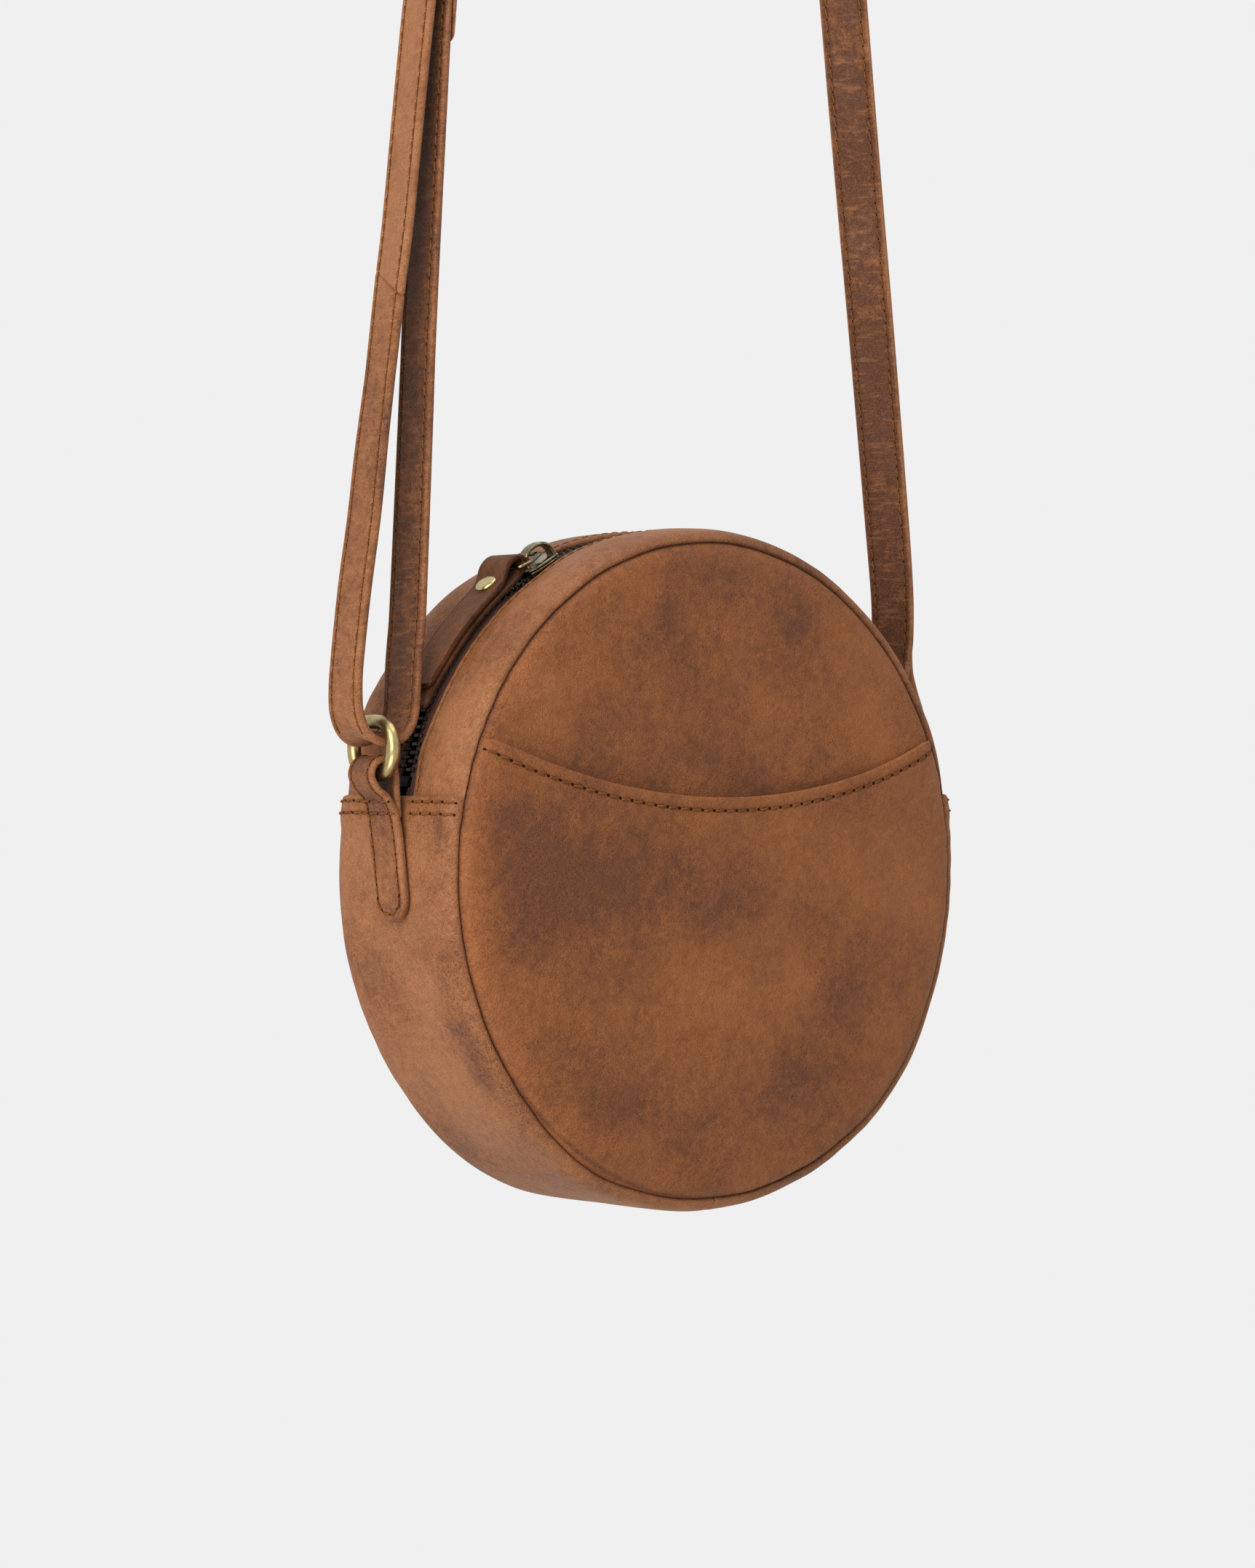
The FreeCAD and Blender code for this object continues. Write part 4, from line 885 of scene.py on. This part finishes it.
def make_tab(name, sign, node):
    flat = smooth_line(TAB_PATH, 170)
    along = lengths(flat)
    slant = np.where(along > 45, 0.0, -3.4 * fade(flat[:, 1], -14.0, 21.0))
    path = points_at(-sign * flat[:, 0], slant, flat[:, 1])
    twist = RING_TURN[sign] * smoothstep(along, 24.0, 40.0)
    _, across, out = frames_along(path, points_at(-np.sin(twist), np.cos(twist), 0.0))
    out = -sign * out
    widths = round_over(along / 7.2, 0.0008) * (1 - 0.1 * smoothstep(along, 28.0, 42.0))
    heights = (1.3 - 0.3 * smoothstep(along, 30.0, 38.0)) * round_over(along / 1.2, 0.02)
    section = rounded_section(7.0, 1.0, 0.22, TAB_INSET)
    rubbed = -0.2 + 0.45 * smoothstep(np.abs(section[:, 0]), 5.4, 6.6)
    shape = Shape(sweep(path, across, out, section, widths, heights), tone=rubbed)
    make_piece(name, shape, "bag", TAB_LEATHER, "bag_leather", node, plain_tone(-0.1, 41, 0.22, 22.0))

    stitches = Stitches()
    sewn = (along > TAB_BEND) & (along < 62.0)
    face = path + out * (heights * 0.86)[:, None]
    for side in (-1, 1):
        line = face + side * across * (TAB_INSET * widths)[:, None]
        stitches.row(line[sewn], out[sewn], *TAB_STITCH)
    bend = np.linspace(-math.pi / 2, math.pi / 2, 30)
    place = TAB_BEND - 4.7 * np.cos(bend)
    top = path + out * (heights + 0.03)[:, None]
    line = at_length(top, along, place) + TAB_INSET * np.sin(bend)[:, None] * at_length(across, along, place)
    stitches.row(line, at_length(out, along, place), *TAB_STITCH)
    rises = heights / np.maximum(np.abs(out[:, 0]), 0.3)
    for below in HEM_ROWS:
        stitches.row(*hem_row(sign, below, path, rises), *HEM_STITCH)
    stitches.make(name)


def make_ring(name, sign, body, node):
    turn = circle(72)
    outline = np.stack([7.5 * np.cos(turn) + 3.0 * np.tanh(4 * np.cos(turn)), 7.5 * np.sin(turn)], axis=-1)
    reach, rise = spread_evenly(np.vstack([outline, outline[:1]]), 96, loop=True).T
    angle = RING_TURN[sign]
    path = points_at(sign * RING_X - reach * math.sin(angle), reach * math.cos(angle), RING_Z + rise)
    make_piece(name, Shape(tube(path, 2.0, 20), **WIRE), body, RING_BRASS, "antique_brass", node)


for side_name, side_sign in SIDES:
    make_tab("ring_tab_" + side_name, side_sign, "tab_" + side_name)
for side_name, side_sign in SIDES:
    make_ring("oval_ring_" + side_name, side_sign, side_name + "_ring", "ring_" + side_name)

# Strap

STRAP_INSET = 5.4
STRAP_SECTION = rounded_section(STRAP_WIDE, STRAP_HALF, 0.38, STRAP_INSET)
STRAP_STITCH = (3.7, 0.32, 0.28, 0.82)
# Middle lines as (x, z).
LEFT_STRAND = [(-99.4, 166), (-96.6, 184), (-92.9, 215), (-89.0, 246), (-85.2, 269.3), (-82.336, 287.237)]
LOWER_STRAND = [
    (-99.4, 166), (-102.7, 142), (-105.9, 121), (-108.6, 100.6), (-112.0, 80), (-114.6, 60), (-115.2, 51),
    (-114.7, 45), (-112.6, 40.2), (-109.3, 37.3), (-105.3, 36.5), (-101.2, 37.3), (-97.7, 40.3), (-95.7, 45),
    (-95.1, 51.5), (-94.5, 60.5), (-93.36, 71.06),
]
TAIL_STRAND = [
    (-93.36, 71.06), (-92.7, 83), (-90.7, 122), (-88.8, 160), (-85.8, 210), (-83.5, 246), (-82.5, 257),
]
RIGHT_STRAND = [
    (74.092, 286.418), (76.6, 265), (82.5, 214), (88.6, 164), (94.6, 112), (97.0, 90), (98.2, 75), (98.7, 66),
    (99.0, 56), (99.6, 49), (101.0, 42.4), (102.6, 38.4), (105.3, 36.8), (108.0, 38.5), (108.7, 42.5),
    (107.6, 47.5), (104.6, 54.0), (102.0, 62.0), (100.85, 77.2),
]
FOLD_LEAD = [(-82.0, 256.0), (-82.2, 260.0), (-81.9, 262.6)]
FOLD_INNER = [(-80.2, 260.4), (-80.75, 256.0), (-81.2, 252.0), (-81.55, 247.0), (-82.4, 235.0)]
# Painted light and shade on the faces of the loop and the strap's end, as (out side, in side).
LOOP_PAINTED_LIGHT_AND_SHADE = (-0.44, 0.12)
RIGHT_ASIDE = 2.8
SPLICE_SLANT = 4.2


def strand(path, place, turns, heights=1.0):
    """The strap along a path, turned about the vertical by degrees that change with its place along it."""
    angle = np.radians(np.interp(place, *zip(*turns)))
    ahead, across, out = frames_along(path, points_at(-np.sin(angle), np.cos(angle), 0.0))
    return sweep(path, across, out, STRAP_SECTION, 1.0, heights), ahead, across, out


def cup(path, grid, centre):
    """The strap gives to the ring's round bar: its middle rises where it passes under the bar."""
    near = bell(path[:, 2], 36.5, 5.0) * bell(path[:, 0], centre, 8.0)
    grid[:, :, 2] += 2.3 * near[:, None] * (1 - (STRAP_SECTION[:, 0] / STRAP_WIDE) ** 2)


def slanted_join(path, ahead, grid, slant):
    """Cuts the strap's first end on a slant, a little thinner right at the join."""
    along = lengths(path)
    thin = 0.34 * fade(along, 0.0, 0.9)
    grid = grid + thin[:, None, None] * (path[:, None, :] - grid) * np.array([1.0, 0.1, 1.0])
    shift = slant * fade(along, 0.0, 14.0)[:, None] * (STRAP_SECTION[:, 0] / STRAP_WIDE)
    return grid + shift[:, :, None] * ahead[:, None, :]


def painted_face_light_and_shade(out_side, in_side):
    """Painted light and shade on the strap's faces; the rims get nearly the lighter face's painted light."""
    faces = in_side + (out_side - in_side) * smoothstep(STRAP_SECTION[:, 1] / STRAP_HALF, -0.7, 0.7)
    rim = smoothstep(np.abs(STRAP_SECTION[:, 0]), 6.5, 7.3)
    return faces + rim * (max(out_side, in_side) - 0.12 - faces)


def strap_stitches(name, path, across, out, lowest=0.0, rides=True):
    """Rows along both rims of both faces, where the strap is above lowest."""
    stitches = Stitches()
    sewn = path[:, 2] > lowest
    cuts = np.flatnonzero(np.diff(sewn.astype(int)))
    runs = [run for run in np.split(np.arange(len(path)), cuts + 1) if sewn[run[0]] and len(run) > 8]
    for face in (1, -1):
        for side in (-1, 1):
            line = path + side * STRAP_INSET * across + face * (STRAP_HALF - 0.3) * out
            for run in runs:
                stitches.row(line[run], face * out[run], *STRAP_STITCH)
    return stitches.make(name, "strap", rides)


def make_strap_long():
    """From the splice on the left, up over the crown and down round the right ring."""
    turn = np.linspace(math.pi - LEFT_LEAN, RIGHT_LEAN, 70)
    crown = np.array(CROWN_CENTRE) + CROWN_RADIUS * np.stack([np.cos(turn), np.sin(turn)], axis=-1)
    flat = np.vstack([smooth_line(LEFT_STRAND, 90)[:-1], crown[1:-1], smooth_line(RIGHT_STRAND, 300)])
    flat = spread_evenly(flat, 900)
    aside = np.where(flat[:, 0] > 0, RIGHT_ASIDE * fade(flat[:, 1], 42.0, 85.0), 0.0)
    aside[np.argmin(flat[:, 1]):] = RIGHT_ASIDE
    path = points_at(flat[:, 0], aside, flat[:, 1])
    along = lengths(path)
    apex = along[np.argmax(path[:, 2])]
    end = along[-1]
    turns = [
        (0, -6.5), (83, -4), (apex - 90, -3), (apex, 8), (apex + 95, 26), (apex + 130, 31), (apex + 300, 19),
        (end - 78, 12), (end - 58, -12), (end - 42, -18), (end - 20, -10), (end, 6),
    ]
    grid, ahead, across, out = strand(path, along, turns)
    cup(path, grid, RING_X)
    # Painted light on the strap's outer face and painted shade on its inner face, with lighter rims.
    shape = Shape(slanted_join(path, ahead, grid, SPLICE_SLANT), tone=painted_face_light_and_shade(0.42, -0.62))
    patches = plain_tone(0.0, 51, 0.14, 55.0)
    make_piece("strap_long", shape, "strap", STRAP_LEATHER, "strap_leather", "shoulder_strap", patches)
    strap_stitches("strap_long", path, across, out, 50.0)


def strap_path(points, count):
    """A strap's middle line, and each point's place on it from 0 to 1."""
    flat = smooth_line(points, count)
    return points_at(flat[:, 0], 0.0, flat[:, 1]), np.linspace(0.0, 1.0, count)


def make_strap_loop():
    """From the splice down, round the left ring and a little way up."""
    path, place = strap_path(LOWER_STRAND, 330)
    turns = [(0.0, -6.5), (0.15, -8), (0.3, -4), (0.45, -3), (0.62, -4), (0.72, -2), (0.85, 1), (1.0, 2)]
    grid, ahead, across, out = strand(path, place, turns)
    cup(path, grid, -RING_X)
    # Painted light and shade on the faces, and a little lighter near the splice.
    tone = painted_face_light_and_shade(*LOOP_PAINTED_LIGHT_AND_SHADE) + 0.34 * fade(place, 0.0, 0.16)[:, None]
    shape = Shape(slanted_join(path, ahead, grid, -SPLICE_SLANT), tone=tone)
    patches = plain_tone(0.0, 52, 0.14, 50.0)
    make_piece("strap_loop", shape, "strap", LOOP_LEATHER, "strap_leather", "strap_lower", patches)
    strap_stitches("strap_loop", path, across, out, 40.0)


def make_strap_end():
    """The free inner strand, with its pared end folded round the buckle's bar."""
    path, place = strap_path(TAIL_STRAND, 220)
    heights = 1.0 - 0.35 * smoothstep(path[:, 2], 236.0, 252.0)
    grid, _, across, out = strand(path, place, [(0.0, 2), (0.4, -2), (1.0, 0)], heights)
    # Painted light and shade on the faces, as on the loop.
    shape = Shape(grid, tone=painted_face_light_and_shade(*LOOP_PAINTED_LIGHT_AND_SHADE))
    turn = np.linspace(1.5 * math.pi - 0.5, -0.5 * math.pi - 0.1, 40)
    wrap = np.array(BAR) + 2.45 * np.stack([np.cos(turn), np.sin(turn)], axis=-1)
    fold = smooth_line(np.vstack([wrap, FOLD_INNER]), 120)[6:]
    fold = spread_evenly(np.vstack([FOLD_LEAD, fold]), 130)
    fold = points_at(fold[:, 0], 0.0, fold[:, 1])
    _, fold_across, fold_out = frames_along(fold, DEPTHWAYS)
    left = np.arange(129, -1, -1) * np.linalg.norm(fold[1] - fold[0])
    narrow = 1 - 0.4 * (1 - round_over(left / 3.0))
    pared = 0.4 + 0.6 * smoothstep(left, 0.0, 20.0)
    thin = rounded_section(STRAP_WIDE, 0.8, 0.2, STRAP_INSET)
    shape.add_grid(sweep(fold, fold_across, fold_out, thin, narrow, pared))
    patches = plain_tone(0.0, 53, 0.12, 50.0)
    looks = (LOOP_LEATHER, "strap_leather", "strap_tail", patches)
    tail = make_piece("strap_end", shape, "strap", *looks, rides=False)
    sewn = strap_stitches("strap_end", path, across, out, rides=False)
    for piece in (tail, *sewn):
        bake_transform(piece)


make_strap_long()
make_strap_loop()
make_strap_end()

# Buckle that carries the strap's end

BUCKLE_UP = np.array([math.sin(LEFT_LEAN), 0.0, math.cos(LEFT_LEAN)])
BUCKLE_OUT = np.array([math.cos(LEFT_LEAN), 0.0, -math.sin(LEFT_LEAN)])
BUCKLE_FRAME_OUT = -3.65
BUCKLE_REACH = 8.95


def buckle_place(along, out, depth):
    """Points of the buckle: along the strand upward, out to its inner side, and depth in Y."""
    along, out, depth = (np.asarray(part)[..., None] for part in np.broadcast_arrays(along, out, depth))
    return np.array([BUCKLE[0], 0.0, BUCKLE[1]]) + along * BUCKLE_UP + out * BUCKLE_OUT + depth * DEPTHWAYS


def make_buckle():
    corners = [(-BUCKLE_REACH, -8.9), (BUCKLE_REACH, -8.9), (BUCKLE_REACH, 8.9), (-BUCKLE_REACH, 8.9)]
    outline = rounded_path(corners, 3.0, 96)
    path = buckle_place(outline[:, 0], BUCKLE_FRAME_OUT, outline[:, 1])
    shape = Shape(tube(path, 1.1, 14), **WIRE)
    lift = np.linspace(BUCKLE_FRAME_OUT, 5.6, 22)
    narrow = round_over(1 - (lift - 3.2) / 3.3, 0.05)
    for sign in (-1, 1):
        base = buckle_place(0.0, lift, sign * 9.0)
        up, deep = (np.broadcast_to(way, base.shape) for way in (BUCKLE_UP, DEPTHWAYS))
        shape.add_grid(sweep(base, up, deep, rounded_section(2.5, 0.95), narrow))
    make_piece("buckle_loop", shape, "strap_buckle", RING_BRASS, "antique_brass", "strap_buckle_frame")
    reach = np.concatenate([[-9.6, -9.5], np.linspace(-9.2, 9.2, 16), [9.5, 9.6]])[:, None]
    size = np.concatenate([[0.3, 1.0], np.full(16, 1.5), [1.0, 0.3]])[:, None]
    turn = circle(18)
    shape = Shape(points_at(BAR[0] + size * np.cos(turn), reach, BAR[1] + size * np.sin(turn)))
    make_piece("buckle_rod", shape, "strap_buckle", RING_BRASS, "antique_brass", "strap_buckle_bar")


make_buckle()

# Zip: tapes, teeth, stops, slider, link and leather puller

# The tape's section as (radius, y).
TAPE_SECTION = [
    (97.3, 14.2), (97.35, 9.0), (97.35, 4.0), (97.3, 2.6), (97.5, 1.7), (97.8, 1.75), (97.95, 2.6),
    (97.95, 4.0), (97.9, 9.0), (97.85, 14.2),
]
TOOTH_RADIUS = 97.65
TOOTH_STEP = 1.468
TOOTH_COUNT = 99
# Sections of a tooth from its clamp to its head: y, half length along the chain and half height.
TOOTH_SIDES = np.array([3.15, 3.0, 2.55, 2.05, 1.45, 0.7, 0.0, -0.4, -0.6])[:, None]
TOOTH_LENGTHS = np.array([0.35, 0.72, 0.78, 0.74, 0.6, 0.58, 0.62, 0.5, 0.2])[:, None]
TOOTH_HEIGHTS = np.array([0.4, 1.0, 1.4, 1.45, 1.15, 1.1, 1.12, 0.85, 0.3])[:, None]


def zip_raise(turn):
    """The tapes and teeth stand up along the open end."""
    return 1.5 * open_end(turn, 33.0)


def make_tape(name, side, node):
    section = smooth_line(TAPE_SECTION, 46, loop=True)
    turn = np.linspace(-77.5, 77.5, 260)[:, None]
    radius = section[:, 0] + zip_raise(turn) * fade(section[:, 1], 3.6, 9.0)
    make_piece(name, Shape(polar(turn, radius, side * section[:, 1])), "bag", TAPE, "zip_tape", node)


def make_teeth(name, side, first, node):
    shape = Shape()
    wide, high = boxy(10, 0.6, 0.6)
    for turn in -first - TOOTH_STEP * np.arange(TOOTH_COUNT):
        parted = 0.3 + 0.3 * smoothstep(turn, SLIDER_TURN - 2.0, SLIDER_TURN + 12.0)
        depth = side * (TOOTH_SIDES + (0.0 if turn < SLIDER_TURN else parted))
        radius = TOOTH_RADIUS + zip_raise(turn) + TOOTH_HEIGHTS * high
        shape.add_grid(polar(turn - np.degrees(TOOTH_LENGTHS * wide / CHAIN_RADIUS), radius, depth))
    make_piece(name, shape, "bag", TOOTH_BRASS, "zip_brass", node)


for face_name, face_sign in FACES:
    make_tape("tape_" + face_name, face_sign, "zip_tape_" + face_name)
make_teeth("teeth_front", -1, -72.647, "zip_teeth_front")
make_teeth("teeth_back", 1, -71.913, "zip_teeth_back")
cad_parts["zip_stops"].data.materials.clear()
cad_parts["zip_stops"].data.materials.append(STOP_BRASS)

# Cross sections along the slider: place along the chain, half width, and share of the plate's height.
SLIDER_SPOTS = np.array([-6.4, -6.1, -5.2, -3.6, -1.5, 1.0, 3.2, 4.8, 5.9, 6.4])[:, None]
SLIDER_WIDTHS = np.array([1.6, 2.4, 3.2, 3.7, 4.2, 4.5, 4.45, 4.0, 3.2, 2.0])[:, None]
SLIDER_TOPS = np.array([0.2, 0.8, 1.25, 1.5, 1.6, 1.6, 1.55, 1.35, 0.9, 0.25])[:, None] / 1.6
SLIDER_ARCH = [
    (4.5, 100.4), (4.3, 102.2), (3.4, 104.2), (1.4, 105.15), (-1.6, 105.15), (-3.9, 104.2), (-5.3, 102.4),
    (-5.7, 100.4),
]


def slider_place(along, radius, depth=0.0):
    """Points of the slider: along the chain to the left, at a radius, and depth in Y."""
    return polar(SLIDER_TURN + np.degrees(along / CHAIN_RADIUS), radius, depth)


def make_slider():
    shape = Shape()
    wide, high = boxy(28, 0.45, 0.55)
    for plate in (100.15, 95.05):
        radius = plate + 0.75 * SLIDER_TOPS * high
        shape.add_grid(slider_place(SLIDER_SPOTS, radius, SLIDER_WIDTHS * wide))
    for side in (-1, 1):
        for flange in (98.8, 96.4):
            depth = side * (SLIDER_WIDTHS[1:-1] - 0.42) + 0.42 * wide
            shape.add_grid(slider_place(SLIDER_SPOTS[1:-1], flange + 0.9 * high, depth))
    post = np.linspace(95.4, 99.8, 6)[:, None]
    shape.add_grid(slider_place(-3.9 + 1.3 * wide, post, 0.5 * high))
    arch = smooth_line(SLIDER_ARCH, 44)
    ahead = unit(np.gradient(arch, axis=0))
    normal = np.stack([-ahead[:, 1], ahead[:, 0]], axis=-1)
    section = rounded_section(1.65, 0.62)
    flat = arch[:, None, :] + section[:, 1:] * normal[:, None, :]
    depth = section[:, 0] * (1 + 0.15 * np.linspace(-1, 1, 44)[:, None] ** 4)
    shape.add_grid(slider_place(flat[:, :, 0], flat[:, :, 1], depth))
    make_piece("slider", shape, "zip_slider", SLIDER_BRASS, "antique_brass", "zip_slider_body")


LINK_NEAR = np.array([-46.76, 0.0, 91.77])
LINK_FAR = np.array([-58.0, 0.0, 87.35])
LINK_CORNERS = [(0.0, -2.5), (0.0, 2.5), (8.2, 7.45), (12.0, 7.45), (12.0, -7.45), (8.2, -7.45)]
LINK_RADII = [0.9, 0.9, 2.2, 2.2, 2.2, 2.2]


def make_link():
    outline = rounded_path(LINK_CORNERS, LINK_RADII, 120)
    path = LINK_NEAR + outline[:, :1] * unit(LINK_FAR - LINK_NEAR) + outline[:, 1:] * DEPTHWAYS
    shape = Shape(tube(path, 0.65, 14), **WIRE)
    make_piece("link_wire", shape, "pull_link", SLIDER_BRASS, "antique_brass", "pull_link")


# The folded puller's middle line as (turn, radius), from its lower end to its upper end.
PULLER_LINE = [
    (63.2, 102.8), (57.0, 102.3), (50.0, 101.95), (44.0, 101.8), (38.2, 101.8), (35.4, 102.0), (33.6, 102.55),
    (32.1, 103.7), (31.6, 105.2), (32.2, 106.8), (33.5, 107.5), (35.0, 107.0), (36.4, 105.4), (37.8, 104.0),
    (39.5, 103.6), (43.0, 103.6), (50.0, 103.75), (59.8, 104.4),
]
PULLER_WIDE = 6.5
PULLER_CORNER = 2.6
RIVET_TURN = 37.9
# Outlines of the rivet as (radius, distance from the bag's centre), with the number of rings.
RIVET_CAP = [
    (0.2, 104.2), (2.6, 104.2), (3.3, 104.4), (3.5, 104.9), (3.42, 105.3), (3.1, 105.6), (2.4, 105.85),
    (1.3, 105.97), (0.15, 106.0),
]
RIVET_FOOT = [
    (0.2, 101.2), (2.4, 101.2), (3.05, 101.05), (3.2, 100.85), (3.0, 100.65), (2.0, 100.5), (0.15, 100.45),
]
RIVET_SHANK = [(1.4, 101.0), (1.45, 103.0), (1.4, 104.6)]
RIVET_PARTS = ((RIVET_CAP, 44), (RIVET_FOOT, 24), (RIVET_SHANK, 4))


def make_puller():
    path = smooth_line(polar(*np.array(PULLER_LINE).T), 240)
    along = lengths(path)
    _, across, out = frames_along(path, DEPTHWAYS)
    end = np.minimum(along, along[-1] - along)
    widths = 1 - (PULLER_CORNER / PULLER_WIDE) * (1 - round_over(end / PULLER_CORNER))
    heights = round_over(end / 0.8, 0.03)
    section = rounded_section(PULLER_WIDE, 0.84, 0.12, 5.1)
    edge = np.maximum(smoothstep(np.abs(section[:, 0]), 5.75, 6.0), fade(end, 0.4, 0.9)[:, None])
    shape = Shape(sweep(path, across, out, section, widths, heights), edge=edge)
    patches = plain_tone(-0.1, 61)
    make_piece("puller_strip", shape, "puller", PULLER_LEATHER, "bag_leather", "puller_leather", patches)


def make_rivet():
    up = polar(RIVET_TURN, 1.0)
    ring = ring_about(np.array([up[2], 0.0, -up[0]]), DEPTHWAYS, circle(40))
    shape = Shape()
    for profile, count in RIVET_PARTS:
        line = smooth_line(profile, count)
        shape.add_grid(line[:, None, :1] * ring + line[:, None, 1:] * up)
    make_piece("rivet", shape, "puller", RIVET_BRASS, "antique_brass", "puller_rivet")


make_slider()
make_link()
make_puller()
make_rivet()

# Lining

DISC_RADIUS = 95.2
DISC_DEPTH = 24.15
BAND_RADIUS = 97.5
BAND_DEPTH = 23.9
STRIP_LINING_RADIUS = 96.95
STRIP_LINING_TURN = 77.0
STRIP_LINING_START = 5.2
OPEN_SHEET = {"loop_columns": False, "caps": False}


def make_lining():
    turn = circle(120)
    radius = np.linspace(0.3, DISC_RADIUS, 40)[:, None]
    for face, sign in FACES:
        grid = points_at(radius * np.cos(turn), sign * DISC_DEPTH, radius * np.sin(turn))
        grid[:, :, 1] += 0.18 * ripple(grid.reshape(-1, 3), 71, 30.0).reshape(grid.shape[:2])
        shape = Shape(grid, caps=False)
        disc = make_piece("lining_disc_" + face, shape, "bag", LINING, "lining", "lining_" + face)
    arc = np.linspace(-HEM_ANGLE, HEM_ANGLE, 160)[:, None]
    grid = polar(180.0 + arc, BAND_RADIUS, np.linspace(-BAND_DEPTH, BAND_DEPTH, 26))
    band = make_piece("lining_band", Shape(grid, **OPEN_SHEET), "bag", LINING, "lining", "lining_lower")
    arc = np.linspace(-STRIP_LINING_TURN, STRIP_LINING_TURN, 130)[:, None]
    for face, sign in FACES:
        depth = sign * np.linspace(STRIP_LINING_START, BAND_DEPTH, 12)
        shape = Shape(polar(arc, STRIP_LINING_RADIUS, depth), **OPEN_SHEET)
        strip = make_piece("lining_strip_" + face, shape, "bag", LINING, "lining", "lining_top_" + face)


make_lining()

# Studio: floor, light and camera

FLOOR_HEIGHT = -300.0
FLOOR_RINGS = np.linspace(0.01, 420.0, 12)[:, None]
FLOOR_FADE = (250.0, 415.0)
LAMP_AIM = (0.0, 0.0, 40.0)


def make_floor():
    """A pale disc below the bag, which fades out towards its rim."""
    turn = circle(96)
    grid = points_at(FLOOR_RINGS * np.cos(turn), FLOOR_RINGS * np.sin(turn), FLOOR_HEIGHT)
    mesh = bpy.data.meshes.new("floor")
    faces = grid_faces(len(FLOOR_RINGS), len(turn), False, True)
    mesh.from_pydata(row_frame(grid.reshape(-1, 3)).tolist(), [], faces)
    look = Look("pale_floor")
    x, y, _ = look.add("SeparateXYZ", {"Vector": look.place})
    flat = look.add("CombineXYZ", {"X": x, "Y": y})[0]
    far = look.add("VectorMath", {0: flat}, operation="LENGTH")["Value"]
    alpha = look.remap(far, *FLOOR_FADE, 1.0, 0.0)
    mesh.materials.append(look.shade({"Base Color": (0.8, 0.8, 0.8, 1.0), "Roughness": 0.9, "Alpha": alpha}))
    floor = bpy.data.objects.new("floor", mesh)
    scene.collection.objects.link(floor)


def place_towards(name, data, place, target):
    """An object that looks from a place at a target."""
    made = bpy.data.objects.new(name, data)
    made.location = row_frame(place)
    aim = Vector(row_frame(target)) - made.location
    made.rotation_euler = aim.to_track_quat("-Z", "Y").to_euler()
    scene.collection.objects.link(made)
    return made


def make_light(name, place, size, power, colour):
    data = bpy.data.lights.new(name, "AREA")
    data.shape = "RECTANGLE"
    data.size, data.size_y = size
    data.energy = power
    data.color = colour
    place_towards(name, data, place, LAMP_AIM)


def make_world():
    world = bpy.data.worlds.new("studio")
    scene.world = world
    nodes = Nodes(world)
    ray = nodes.add("LightPath", {})
    seen = nodes.math("ADD", ray["Is Camera Ray"], ray["Is Glossy Ray"], True)
    seen = nodes.math("ADD", seen, ray["Is Transmission Ray"], True)
    colour = nodes.mix(seen, (0.46, 0.455, 0.45, 1.0), (0.871, 0.871, 0.871, 1.0))
    fill(nodes.tree, nodes.tree.nodes["Background"].inputs, {"Color": colour, "Strength": 1.0})


# The photograph's view: 1.3 m away, 41 degrees to the left of the front and just above level, in its pixels.
AZIMUTH = math.radians(-41.24)
RISE = math.radians(1.32)
DISTANCE = 1300.0
FOCAL = 6031.0
PHOTO_SIZE = (1725.0, 2156.0)
BAG_PIXEL = (901.6, 1194.3)
SENSOR = 36.0


def make_camera():
    back = np.array([math.sin(AZIMUTH) * math.cos(RISE), -math.cos(AZIMUTH) * math.cos(RISE), math.sin(RISE)])
    right = np.array([math.cos(AZIMUTH), math.sin(AZIMUTH), 0.0])
    up = np.cross(back, right)
    aside = 0.5 * PHOTO_SIZE[0] - BAG_PIXEL[0]
    above = BAG_PIXEL[1] - 0.5 * PHOTO_SIZE[1]
    target = (right * aside + up * above) * DISTANCE / FOCAL
    data = bpy.data.cameras.new("camera")
    data.sensor_width = SENSOR
    data.lens = FOCAL / PHOTO_SIZE[1] * SENSOR
    scene.camera = place_towards("camera", data, back * DISTANCE, target)


scene.view_settings.view_transform = "Standard"
make_floor()
make_world()
make_light("key_left", (-1150.0, -520.0, 520.0), (0.9, 1.2), 15.0, (1.0, 0.985, 0.965))
make_light("low_left", (-900.0, -420.0, -620.0), (0.8, 0.6), 5.0, (1.0, 0.99, 0.98))
make_light("top_soft", (150.0, -250.0, 1150.0), (1.0, 0.8), 5.0, (1.0, 0.99, 0.98))
make_camera()
